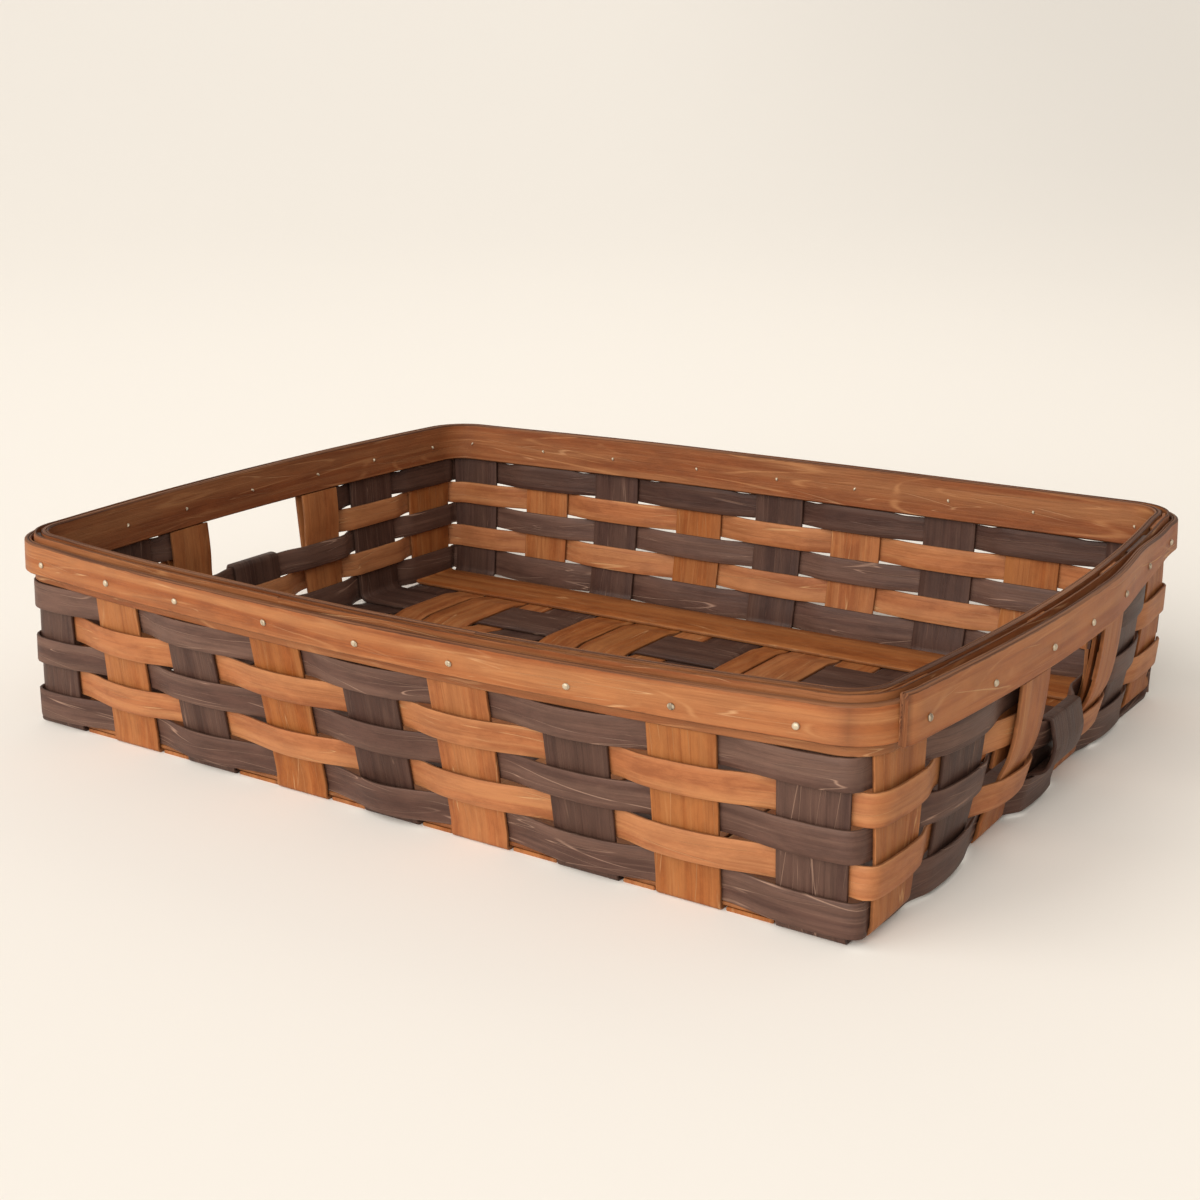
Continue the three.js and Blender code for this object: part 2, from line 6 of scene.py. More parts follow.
import bpy
import numpy as np
from mathutils import Euler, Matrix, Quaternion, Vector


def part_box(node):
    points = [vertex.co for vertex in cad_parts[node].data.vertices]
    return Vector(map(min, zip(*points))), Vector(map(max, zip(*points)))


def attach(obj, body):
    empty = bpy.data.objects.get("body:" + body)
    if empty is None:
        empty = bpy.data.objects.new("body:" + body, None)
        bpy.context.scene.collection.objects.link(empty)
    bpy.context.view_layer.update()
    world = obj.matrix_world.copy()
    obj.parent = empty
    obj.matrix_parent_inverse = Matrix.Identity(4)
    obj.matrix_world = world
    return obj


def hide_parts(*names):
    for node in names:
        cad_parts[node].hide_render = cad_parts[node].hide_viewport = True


bl_info = {
    "name": "Splint tray",
    "version": (1, 0, 0),
    "blender": (4, 5, 0),
    "location": "View3D > Sidebar > Splint tray",
    "description": "Weaves a splint tray with a nailed rim and sets it on a pale sweep",
    "category": "Object",
}

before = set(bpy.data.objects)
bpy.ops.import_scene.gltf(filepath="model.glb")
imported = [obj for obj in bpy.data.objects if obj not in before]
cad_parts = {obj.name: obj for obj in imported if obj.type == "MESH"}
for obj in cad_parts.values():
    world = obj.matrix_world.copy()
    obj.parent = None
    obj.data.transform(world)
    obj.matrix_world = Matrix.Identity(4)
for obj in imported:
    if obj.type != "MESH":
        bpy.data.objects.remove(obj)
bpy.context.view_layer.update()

BODY = "root"
FRONT, RIGHT, BACK, LEFT = range(4)
NORMALS = ((0, -1), (1, 0), (0, 1), (-1, 0))
ALONGS = ((1, 0), (0, 1), (-1, 0), (0, -1))
SHARP_ANGLE = math.radians(38)
WHOLE_COURSES = 3

# How far each lengthwise stake strays from its solid at its two ends, as laid by hand
LEFT_DRIFT = (0.006, -0.0035, -0.008, -0.006, -0.0022, -0.005, -0.005)
RIGHT_DRIFT = (0.001, 0.0025, 0.0080, 0.0035, 0.0035, 0.006, 0.006)


# Settings that a user would change

def length(name, description, default):
    return bpy.props.FloatProperty(
        name=name, description=description, default=default, unit="LENGTH", precision=5)


def line(name, default):
    return bpy.props.FloatVectorProperty(
        name=name, description="How far out of square the wall lies at its start, middle and end",
        default=default, size=3, unit="LENGTH", precision=5)


def share(name, description, default):
    return bpy.props.FloatProperty(name=name, description=description, default=default)


def angle(name, description, default):
    return bpy.props.FloatProperty(name=name, description=description, default=default, subtype="ANGLE")


def colour(name, description, default):
    return bpy.props.FloatVectorProperty(
        name=name, description=description, default=default, size=3, subtype="COLOR", min=0, max=1)


class TraySizes(bpy.types.PropertyGroup):
    """Sizes of the tray's splints, walls and rim"""
    half_length: length("Half length", "From the middle to a short wall's stakes", 0.2262)
    half_width: length("Half width", "From the middle to a long wall's stakes", 0.1682)
    stake_thickness: length("Stake thickness", "Thickness of the stakes, fillers and liners", 0.0016)
    weaver_thickness: length("Weaver thickness", "Thickness of the weavers", 0.0013)
    layer_gap: length("Layer gap", "Gap between crossing splints in the floor", 0.0003)
    wall_gap: length("Wall gap", "Gap between layers in the walls and the rim", 0.0005)
    bend_radius: length("Bend radius", "Radius of a stake's turn from the floor into a wall", 0.005)
    front_bend_radius: length("Front bend radius", "Radius of a stake's turn up into the front wall", 0.0016)
    floor_edge_room: length("Floor edge room", "From the front stakes to the floor's front edge", 0.0014)
    corner_radius_bottom: length("Corner radius, bottom", "Radius of the corners at the floor", 0.004)
    corner_radius_top: length("Corner radius, top", "Radius of the corners at the rim", 0.020)
    front_foot: line("Front foot", (0.0, 0.0, 0.0))
    front_rim: line("Front rim", (0.0, 0.0185, 0.0))
    right_foot: line("Right foot", (-0.0027, -0.0080, -0.0100))
    right_rim: line("Right rim", (-0.0020, 0.0061, -0.0060))
    back_foot: line("Back foot", (-0.0062, -0.0085, -0.0115))
    back_rim: line("Back rim", (0.0040, 0.0005, -0.0080))
    left_foot: line("Left foot", (-0.0050, -0.0050, -0.0085))
    left_rim: line("Left rim", (-0.0060, 0.0042, -0.0035))
    even_lean: share("Even lean", "Fullness of a wall that leans evenly", 1.0)
    full_lean: share("Full lean", "Fullness of a rounded wall, which leans most low down", 2.5)
    left_lean: share("Left lean", "Fullness of the left wall", 1.3)
    left_settling: share("Left settling", "How much lower the left end stands than the right", 0.017)
    post_width: share("Post width", "Width of the hand holes' posts, as a share of their solids'", 0.85)
    post_trim: length("Post trim", "How much the right front post is trimmed, the back one by half", 0.0120)
    bottom_course_drop: length("Bottom course drop", "How far it hangs below its solid", 0.0010)
    bottom_course_sag: length("Bottom course sag", "How much lower it hangs but on the front wall", 0.0018)
    top_course_lift: length("Top course lift", "How far it slips up behind the inner band", 0.0013)
    weaver_crown: length("Weaver crown", "How far a weaver bulges over a stake", 0.0011)
    weaver_wobble: length("Weaver wobble", "How far a weaver wanders up and down", 0.0003)
    outer_band_thickness: length("Outer band thickness", "Thickness of the outer rim band", 0.0032)
    outer_bevel_depth: length("Bevel depth", "Depth of the outer band's bevel", 0.0006)
    outer_bevel_height: length("Bevel height", "Height of the outer band's bevel", 0.0009)
    outer_top_drop: length("Outer band drop", "How far the outer band ends below the others", 0.0028)
    outer_lift: length("Outer band lift", "How far the outer band's bottom lies above its solid's", 0.0013)
    backing_band_thickness: length("Backing thickness", "Thickness of the backing band", 0.0016)
    inner_band_thickness: length("Inner band thickness", "Thickness of the inner rim band", 0.0032)
    lap_inner_end: length("Lap inner end", "Where the outer band ends under itself", 0.022)
    lap_ramp: length("Lap ramp", "Length over which the outer band steps up onto its lap", 0.075)
    lap_overhang: length("Lap overhang", "How far the outer band's free end passes the corner", 0.0105)
    lap_lift: length("Lap lift", "How far the outer band rides up where it laps", 0.0008)
    lap_bend: length("Lap bend", "How far the outer band's free end follows the corner", 0.0018)
    fold_sag: length("Fold sag", "How far a folded stake presses the course under it down", 0.0016)
    tail_bow: length("Tail bow", "How far a folded stake's tail bows away from the wall", 0.0045)
    nail_head_radius: length("Nail head radius", "Radius of a nail's head", 0.0015)
    nail_shank_radius: length("Nail shank radius", "Radius of a nail's shank", 0.0008)
    clinch_length: length("Clinch length", "Length of a nail's tip bent over inside", 0.0012)
    edge_rounding: length("Edge rounding", "Radius of the splints' worn edges", 0.00035)


class TrayColours(bpy.types.PropertyGroup):
    """Colours of the tray's finishes"""
    light_base: colour("Light splint", "Stained light splints", (0.306, 0.097, 0.0275))
    light_deep: colour("Light splint, deep", "Dark grain in light splints", (0.170, 0.045, 0.011))
    light_pale: colour("Light splint, pale", "Pale streaks in light splints", (0.430, 0.190, 0.068))
    dark_base: colour("Dark splint", "Stained dark splints", (0.074, 0.0335, 0.0232))
    dark_deep: colour("Dark splint, deep", "Dark grain in dark splints", (0.033, 0.0142, 0.0098))
    dark_pale: colour("Dark splint, pale", "Pale scratches in dark splints", (0.215, 0.120, 0.082))
    rim_base: colour("Rim", "Stained rim bands", (0.253, 0.0735, 0.0209))
    rim_deep: colour("Rim, deep", "Dark grain and cut edges of the rim", (0.138, 0.037, 0.0115))
    rim_pale: colour("Rim, pale", "Pale figure of the rim", (0.430, 0.200, 0.080))
    nail: colour("Nail", "Nail heads", (0.500, 0.410, 0.290))
    nail_dull: colour("Nail, dull", "Dulled patches on the nail heads", (0.170, 0.125, 0.085))
    floor: colour("Sweep", "Pale floor and backdrop", (0.893, 0.850, 0.788))
    lamp: colour("Lamps", "Warm white of the lamps and the even light", (1.0, 0.97, 0.93))


class StageSettings(bpy.types.PropertyGroup):
    """Camera and lights"""
    camera_place: bpy.props.FloatVectorProperty(
        name="Camera place", description="Where the camera stands", subtype="TRANSLATION", unit="LENGTH",
        default=(0.4928, -0.7336, 0.3132), precision=5)
    camera_yaw: angle("Yaw", "Turn of the view from +Y towards +X", -0.596)
    camera_pitch: angle("Pitch", "Rise of the view above the horizon", -0.284)
    camera_roll: angle("Roll", "Turn of the view about its own line", -0.0038)
    camera_lens: bpy.props.FloatProperty(
        name="Lens", description="Focal length on a 36 mm sensor", subtype="DISTANCE_CAMERA", default=56.63)
    key_strength: share("Key", "Strength of the soft key light from the front", 2.2)
    low_strength: share("Low light", "Strength of the low soft light from the front", 1.3)
    left_strength: share("Left light", "Strength of the soft light from the front left above", 0.9)
    ambient_strength: share("Ambient", "Strength of the even light all round", 0.45)


SETTINGS = {
    "splint_tray_sizes": TraySizes, "splint_tray_colours": TrayColours, "splint_tray_stage": StageSettings}


# Curves and meshes

def smoothstep(t):
    t = np.clip(t, 0, 1)
    return t * t * (3 - 2 * t)


def hermite(t, start, end, start_slope, end_slope):
    return ((2 * t**3 - 3 * t**2 + 1) * start + (t**3 - 2 * t**2 + t) * start_slope
            + (3 * t**2 - 2 * t**3) * end + (t**3 - t**2) * end_slope)


def rounded_path(points, rounds=3):
    """A path of 2-D points with its corners cut round, its ends kept."""
    path = np.asarray(points, float)
    for _ in range(rounds):
        first = 0.75 * path[:-1] + 0.25 * path[1:]
        second = 0.25 * path[:-1] + 0.75 * path[1:]
        middle = np.stack([first, second], 1).reshape(-1, 2)
        path = np.vstack([path[:1], middle[1:-1], path[-1:]])
    return path


def run_lengths(points):
    """How far along a path each of its points lies."""
    steps = np.linalg.norm(np.diff(points, axis=0), axis=1)
    return np.concatenate([[0], np.cumsum(steps)])


def resampled(points, step):
    """A path with even steps."""
    points = np.asarray(points, float)
    gone = run_lengths(points)
    at = np.linspace(0, gone[-1], max(2, int(math.ceil(gone[-1] / step)) + 1))
    return np.stack([np.interp(at, gone, points[:, k]) for k in range(points.shape[1])], 1)


def wander(rng, places, reach, waves):
    """A smooth wandering of about unit size over places, from a few random waves."""
    total = np.zeros_like(places)
    for wave in range(1, waves + 1):
        phase = rng.uniform(0, 2 * math.pi)
        pace = wave * rng.uniform(0.7, 1.3)
        total += np.sin(2 * math.pi * pace * places / reach + phase) / math.sqrt(wave)
    return total / math.sqrt(waves)


class Section:
    """A splint's cross-section: points round it, as places across and through, with worn edges marked."""

    def __init__(self, width, thickness, rounding):
        half = width / 2
        inner = (half - rounding) / half
        near = (half - 0.35 * rounding) / half
        across = [-1, -near, -inner, -0.55, 0, 0.55, inner, near, 1]
        through = [0.35, 0.78, 1, 1, 1, 1, 1, 0.78, 0.35]
        worn = [1, 0.8, 0.25, 0, 0, 0, 0.25, 0.8, 1]
        self.across = np.array(across + across[::-1]) * half
        self.through = np.array(through + [-t for t in through]) * thickness / 2
        self.worn = np.array(worn + worn[::-1])

    def facing(self, sign):
        """The section as it runs along a wall whose walking order has this sign."""
        turned = copy.copy(self)
        turned.across = sign * self.across
        return turned


def swept_mesh(name, rows, along, across, worn, tone, seed):
    """A closed mesh through rows of section points, with its grain, worn edges and tone as attributes."""
    stations, around = rows.shape[:2]
    index = np.arange(stations * around).reshape(stations, around)
    turned = np.roll(index, -1, axis=1)
    quads = np.stack([index[:-1], turned[:-1], turned[1:], index[1:]], -1).reshape(-1, 4)
    flat = rows.reshape(-1, 3)
    a, b, c, d = (flat[quads[:, k]] for k in range(4))
    volume = np.einsum("ij,ij->", a, np.cross(b, c)) + np.einsum("ij,ij->", a, np.cross(c, d))
    faces = quads.tolist() + [index[0][::-1].tolist(), index[-1].tolist()]
    if volume < 0:
        faces = [face[::-1] for face in faces]
    mesh = bpy.data.meshes.new(name)
    mesh.from_pydata(flat.tolist(), [], faces)
    size = (stations, around)
    grain = np.stack([np.broadcast_to(v, size) for v in (along[:, None], across[None, :], seed)], -1)
    tones = np.broadcast_to(np.reshape(tone, (-1, 1)), size)
    layers = (("grain", "FLOAT_VECTOR", "vector", grain),
              ("worn", "FLOAT", "value", np.broadcast_to(worn, size)), ("tone", "FLOAT", "value", tones))
    for label, kind, field, values in layers:
        layer = mesh.attributes.new(label, kind, "POINT")
        layer.data.foreach_set(field, np.ascontiguousarray(values, np.float32).ravel())
    mesh.shade_smooth()
    mesh.set_sharp_from_angle(angle=SHARP_ANGLE)
    return mesh


def add_piece(name, mesh, material, nodes):
    """Places a piece in the scene in the stead of the solids it stands for."""
    piece = bpy.data.objects.new(name, mesh)
    bpy.context.scene.collection.objects.link(piece)
    mesh.materials.append(material)
    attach(piece, BODY)
    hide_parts(*nodes)
    return piece


# The tray's layout

class Layout:
    """Places on the tray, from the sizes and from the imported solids' boxes."""

    def __init__(self):
        s = self.sizes = bpy.context.scene.splint_tray_sizes
        self.crosswise = self.strips("crosswise_stake", 0)
        self.lengthwise = self.strips("lengthwise_stake", 1)
        self.fillers = self.strips("floor_filler", 0)
        courses = [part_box("weaver_course_" + name) for name in ("1", "2", "3", "4_front", "5_front")]
        self.courses = [(low.z, high.z) for low, high in courses]
        self.courses[0] = (self.courses[0][0] - s.bottom_course_drop, self.courses[0][1])
        self.sill = self.courses[WHOLE_COURSES - 1][1]
        self.middle = len(self.lengthwise) // 2
        self.posts = (self.middle - 1, self.middle + 1)
        self.outer_bottom, self.rim_top = (corner.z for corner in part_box("rim_outer_band"))
        self.backing_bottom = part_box("rim_backing_band")[0].z
        self.inner_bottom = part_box("rim_inner_band")[0].z
        self.stake_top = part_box("crosswise_stake_5")[1].z
        low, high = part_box("rim_nail_front_5")
        self.nail_height = (low.z + high.z) / 2
        half = s.stake_thickness / 2
        self.low_level = half
        self.high_level = half + s.stake_thickness + s.layer_gap
        self.bend_top = self.high_level + s.bend_radius
        self.floor_front = s.floor_edge_room - s.half_width
        self.weaver_reach = half + s.wall_gap + s.weaver_thickness / 2
        self.tucked_reach = s.stake_thickness + s.wall_gap
        self.band_face = half + s.wall_gap
        self.outer_face = self.band_face + s.backing_band_thickness + s.wall_gap
        self.lap_push = s.outer_band_thickness + s.wall_gap
        self.reach = (s.half_width, s.half_length, s.half_width, s.half_length)
        self.run = (s.half_length, s.half_width, s.half_length, s.half_width)
        self.foot_line = (s.front_foot, s.right_foot, s.back_foot, s.left_foot)
        self.rim_line = (s.front_rim, s.right_rim, s.back_rim, s.left_rim)
        self.fullness = (s.even_lean, s.full_lean, s.full_lean, s.left_lean)
        for post in self.posts:
            self.lengthwise[post] = (self.lengthwise[post][0], self.lengthwise[post][1] * s.post_width)
        self.lengthwise_left, self.lengthwise_right = (
            [(y + by, width) for (y, width), by in zip(self.lengthwise, drift)]
            for drift in (LEFT_DRIFT, RIGHT_DRIFT))

    @staticmethod
    def strips(prefix, axis):
        """Middle and width of each strip of a kind, in order."""
        names = sorted(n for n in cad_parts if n.startswith(prefix + "_"))
        boxes = [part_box(n) for n in names]
        return [((low[axis] + high[axis]) / 2, high[axis] - low[axis]) for low, high in boxes]

    def bend_radius(self, side):
        return self.sizes.front_bend_radius if side == FRONT else self.sizes.bend_radius

    def lean(self, z):
        return np.maximum(0, (z - self.bend_top) / (self.rim_top - self.bend_top))

    def corner_radius(self, z):
        s = self.sizes
        return s.corner_radius_bottom + (s.corner_radius_top - s.corner_radius_bottom) * self.lean(z)

    @staticmethod
    def on_line(values, t):
        """A smooth line through values at a wall's start, middle and end."""
        start, middle, end = values
        chord = start + (end - start) * (t + 1) / 2
        return chord + (middle - (start + end) / 2) * (1 - t * t)

    def out_of_square(self, side, u, z):
        """How far out of the plain rectangle a wall lies, easing into level corners."""
        ease = 0.07
        x = np.abs(u) / (self.run[side] - self.sizes.corner_radius_top)
        turn = np.clip((x - 1 + ease) / (2 * ease), 0, 1)
        t = np.sign(u) * np.where(x < 1 - ease, x, hermite(turn, 1 - ease, 1, 2 * ease, 0))
        rise = 1 - (1 - np.minimum(self.lean(z), 1)) ** self.fullness[side]
        foot = self.on_line(self.foot_line[side], t)
        return foot + (self.on_line(self.rim_line[side], t) - foot) * rise

    def run_to(self, side, direction, z):
        """Distance along a wall to where the wall beyond its corner runs."""
        beyond = (side + (1 if direction > 0 else 3)) % 4
        return self.run[side] + self.out_of_square(beyond, -direction * self.run[beyond], z)

    def corner_middle(self, side, direction, z):
        """Where a corner's middle lies, measured along the wall."""
        radius = self.corner_radius(z)
        return direction * (self.run_to(side, direction, z) - radius + radius * math.pi / 4)

    def straight_end(self, side, direction):
        """Where a wall's rim begins to curve round a corner."""
        return direction * (self.run_to(side, direction, self.rim_top) - self.sizes.corner_radius_top)

    def wall_ends(self, side, z):
        """Where the corners at a wall's two ends have their middles, measured along the wall."""
        return (self.corner_middle(side, direction, z) for direction in (-1, 1))

    def round_corner(self, side, u, edge, direction, height, heights):
        """A place past an edge at one height, moved at other heights so that the corner's middle is met."""
        middle = self.corner_middle(side, direction, height)
        here = self.corner_middle(side, direction, heights)
        return edge + (here - edge) * (u - edge) / (middle - edge)

    @staticmethod
    def placed(side, distance, offset, z):
        """Points at a distance out from the tray's middle and an offset along a wall."""
        normal, along = NORMALS[side], ALONGS[side]
        x, y = (normal[k] * distance + along[k] * offset for k in (0, 1))
        return np.stack([x, y, z], -1)

    def wall(self, side, u, z, n, straight=False):
        """Points on a wall: u along it, height z, and n outwards from the stakes' middle surface."""
        u, z, n = np.broadcast_arrays(*(np.asarray(v, float) for v in (u, z, n)))
        reach = self.reach[side] + self.out_of_square(side, u, z)
        distance, offset = reach + n, u
        if not straight:
            radius = self.corner_radius(z)
            arc_start = np.where(u > 0, self.run_to(side, 1, z), self.run_to(side, -1, z)) - radius
            turn = np.clip((np.abs(u) - arc_start) / radius, 0, None)
            past = np.abs(u) > arc_start
            distance = np.where(past, reach - radius + (radius + n) * np.cos(turn), distance)
            offset = np.where(past, np.sign(u) * (arc_start + (radius + n) * np.sin(turn)), u)
        points = self.placed(side, distance, offset, z)
        settling_start, settling_run = 0.05, 0.17
        left = smoothstep((-points[..., 0] - settling_start) / settling_run)
        points[..., 2] = z * (1 - self.sizes.left_settling * left)
        return points

    def lengthwise_at(self, x):
        """Middle and width of each lengthwise stake where it crosses a place along the tray."""
        t = (x + self.reach[LEFT]) / (self.reach[LEFT] + self.reach[RIGHT])
        ends = zip(self.lengthwise_left, self.lengthwise_right)
        return [(a + (b - a) * t, width) for (a, width), (b, _) in ends]

    def crossings(self, side):
        """Stakes along a wall in walking order, as (stake number, u, width, is dark)."""
        strips = (self.crosswise, self.lengthwise_right, self.crosswise, self.lengthwise_left)[side]
        direction = 1 if side in (FRONT, RIGHT) else -1
        is_long = side in (FRONT, BACK)
        order = range(len(strips))[::direction]
        return [(k, direction * strips[k][0], strips[k][1], self.is_dark(is_long, k)) for k in order]

    @staticmethod
    def is_dark(crosswise, number):
        return number % 2 == (0 if crosswise else 1)

    def lengthwise_over(self, number, strip_dark):
        """Whether a lengthwise stake lies over a crosswise strip of the floor."""
        outermost = number in (0, len(self.lengthwise) - 1)
        return outermost or self.is_dark(False, number) == strip_dark

    def crosswise_spans(self, x, strip_dark):
        """Stretches of a crosswise strip's floor run, as (start, end, level)."""
        spans = []
        for number, (middle, width) in enumerate(self.lengthwise_at(x)):
            level = self.low_level if self.lengthwise_over(number, strip_dark) else self.high_level
            start = middle - width / 2 if number else self.floor_front
            spans.append((start, middle + width / 2, level))
        return spans

    def lengthwise_spans(self, number):
        """Stretches of a lengthwise stake's floor run, as (start, end, level)."""
        strips = [(*strip, self.is_dark(True, k)) for k, strip in enumerate(self.crosswise)]
        strips += [(*strip, self.is_dark(True, k + 1)) for k, strip in enumerate(self.fillers)]
        spans = []
        for middle, width, dark in sorted(strips):
            level = self.high_level if self.lengthwise_over(number, dark) else self.low_level
            spans.append((middle - width / 2, middle + width / 2, level))
        return spans

    def floor_levels(self, spans, places):
        """Height of a strip's middle along the floor, easing between stretches of different level."""
        shortest_ease = 0.0018
        levels = np.full_like(places, spans[0][2])
        for (_, end, level), (start, _, following) in zip(spans, spans[1:]):
            middle, half = (end + start) / 2, max((start - end) / 2, shortest_ease)
            levels += (following - level) * smoothstep((places - middle + half) / (2 * half))
        return levels


# Splints

def climb_rows(layout, side, middle, section, path, trim=0.0):
    """Rows of a splint that climbs a wall along a path of (n, z), trimmed from the second course up."""
    tangent = np.gradient(path, axis=0)
    tangent /= np.linalg.norm(tangent, axis=1, keepdims=True)
    n = path[:, :1] + tangent[:, 1:] * section.through
    z = path[:, 1:] - tangent[:, :1] * section.through
    half, trim_run = section.across.max(), 0.012
    part = trim / (2 * half) * smoothstep((path[:, 1:] - layout.courses[1][0]) / trim_run)
    return layout.wall(side, middle + section.across * (1 - part) + half * part, z, n)


def bend_rows(layout, side, middle, section, level):
    """Rows of a stake's turn from the floor up into a wall."""
    bend, steps = layout.bend_radius(side), 9
    turn = np.linspace(0, math.pi / 2, steps)[:, None]
    radius = bend + section.through
    reach = layout.reach[side] + layout.out_of_square(side, middle + section.across, 0.0)
    distance = reach - bend + radius * np.sin(turn)
    z = level + bend - radius * np.cos(turn)
    return layout.placed(side, distance, np.broadcast_to(middle + section.across, z.shape), z)


def floor_rows(layout, crosswise, middles, section, spans, ends, front=None):
    """Rows of a strip along the floor between its ends' middles, widened up to a front if one is given."""
    step, ease_start, ease_run = 0.0009, 0.006, 0.020
    places = np.linspace(*ends, int((ends[1] - ends[0]) / step))
    z = layout.floor_levels(spans, places)[:, None] - section.through
    across = np.interp(places, ends, middles)[:, None] + section.across
    if front is not None:
        inside = np.minimum(places - ends[0], ends[1] - places)[:, None]
        more = (across.min(axis=1, keepdims=True) - front) * smoothstep((inside - ease_start) / ease_run)
        across = across - more * np.maximum(0, -section.across / section.across.max())
    along = np.broadcast_to(places[:, None], z.shape)
    return np.stack([across, along, z] if crosswise else [along, across, z], -1)


def stake_rows(layout, crosswise, middles, section, spans, wall_path, trim=0.0, front=None):
    """Rows of a stake from the top of one wall, down, across the floor and up the other wall."""
    ends = ((FRONT, 1), (BACK, -1)) if crosswise else ((LEFT, -1), (RIGHT, 1))
    parts, floor_ends = [], []
    for (side, sign), middle, level in zip(ends, middles, (spans[0][2], spans[-1][2])):
        turned = section.facing(sign)
        path = wall_path(level + layout.bend_radius(side))
        up = climb_rows(layout, side, sign * middle, turned, path, trim if side == RIGHT else 0.0)
        bend = bend_rows(layout, side, sign * middle, turned, level)
        parts.append(np.concatenate([bend, up[1:]]))
        reach = layout.reach[side] + float(layout.out_of_square(side, sign * middle, 0.0))
        floor_ends.append(reach - layout.bend_radius(side))
    floor = floor_rows(layout, crosswise, middles, section, spans, (-floor_ends[0], floor_ends[1]), front)
    return np.concatenate([parts[0][::-1], floor[1:-1], parts[1]])


def straight_path(layout):
    """A stake's way up a wall to the rim."""
    step = 0.004
    return lambda foot: resampled([(0, foot), (0, layout.stake_top)], step)


def folded_path(layout):
    """The middle stake's way: flat over the third course, out, and down behind the bottom course."""
    s = layout.sizes
    step, rounds, sill_gap, fold_room, corner, cut = 0.0008, 2, 0.0003, 0.0006, 0.0011, 0.0003
    sill = layout.sill
    top = sill - s.fold_sag + sill_gap + s.stake_thickness / 2
    course_face = layout.weaver_reach + s.weaver_crown + s.weaver_thickness / 2
    out = course_face + fold_room + s.stake_thickness / 2
    rise_start, rise_end, rise_steps = 0.012, 0.004, 6
    rise = [(0, z) for z in np.linspace(rise_start, top - rise_end, rise_steps)]
    fold = [(0, top - corner), (cut, top - cut), (corner, top),
            (out - corner, top), (out - cut, top - cut), (out, top - corner)]
    settle, tuck, tucked = 0.001, 0.009, layout.tucked_reach
    bow_start, bow_top, bow_bottom, bow_end, last_reach = 0.007, 0.001, 0.006, 0.0025, 0.0022
    bottom_top = layout.courses[0][1]
    low, high = layout.courses[1]
    tail = [(out + 0.5 * s.tail_bow, sill - bow_start), (out + s.tail_bow, high + bow_top),
            (out + s.tail_bow, low + bow_bottom), (out + 0.7 * s.tail_bow, low + bow_end),
            (tucked + last_reach, bottom_top + 1.5 * settle), (tucked, bottom_top + settle),
            (tucked, bottom_top - tuck)]
    return lambda foot: resampled(rounded_path([(0, foot)] + rise + fold + tail, rounds), step)


def splint_section(layout, width, thickness):
    return Section(width, thickness, layout.sizes.edge_rounding)


def splint_piece(node, rows, section, dark, tone, seed):
    """One splint as a piece with its finish."""
    slot = "dark_splint" if dark else "light_splint"
    along = run_lengths(rows.mean(axis=1))
    mesh = swept_mesh(node + "_splint", rows, along, section.across, section.worn, tone, seed)
    return add_piece(node + "_splint", mesh, finish(slot), [node])


def tone_of(rng, dark, bare):
    """How light a splint came out of the stain; bare stakes are darker than weavers, partly as painted
    shade.
    """
    spread = 0.08
    # Bare stakes are set darker, partly for their own colour and partly as painted shade where they sit
    # recessed.
    bare_stain_and_shade, woven_base = (-0.22, 0.0) if dark else (-0.04, 0.07)
    return (bare_stain_and_shade if bare else woven_base) + rng.uniform(-spread, spread)


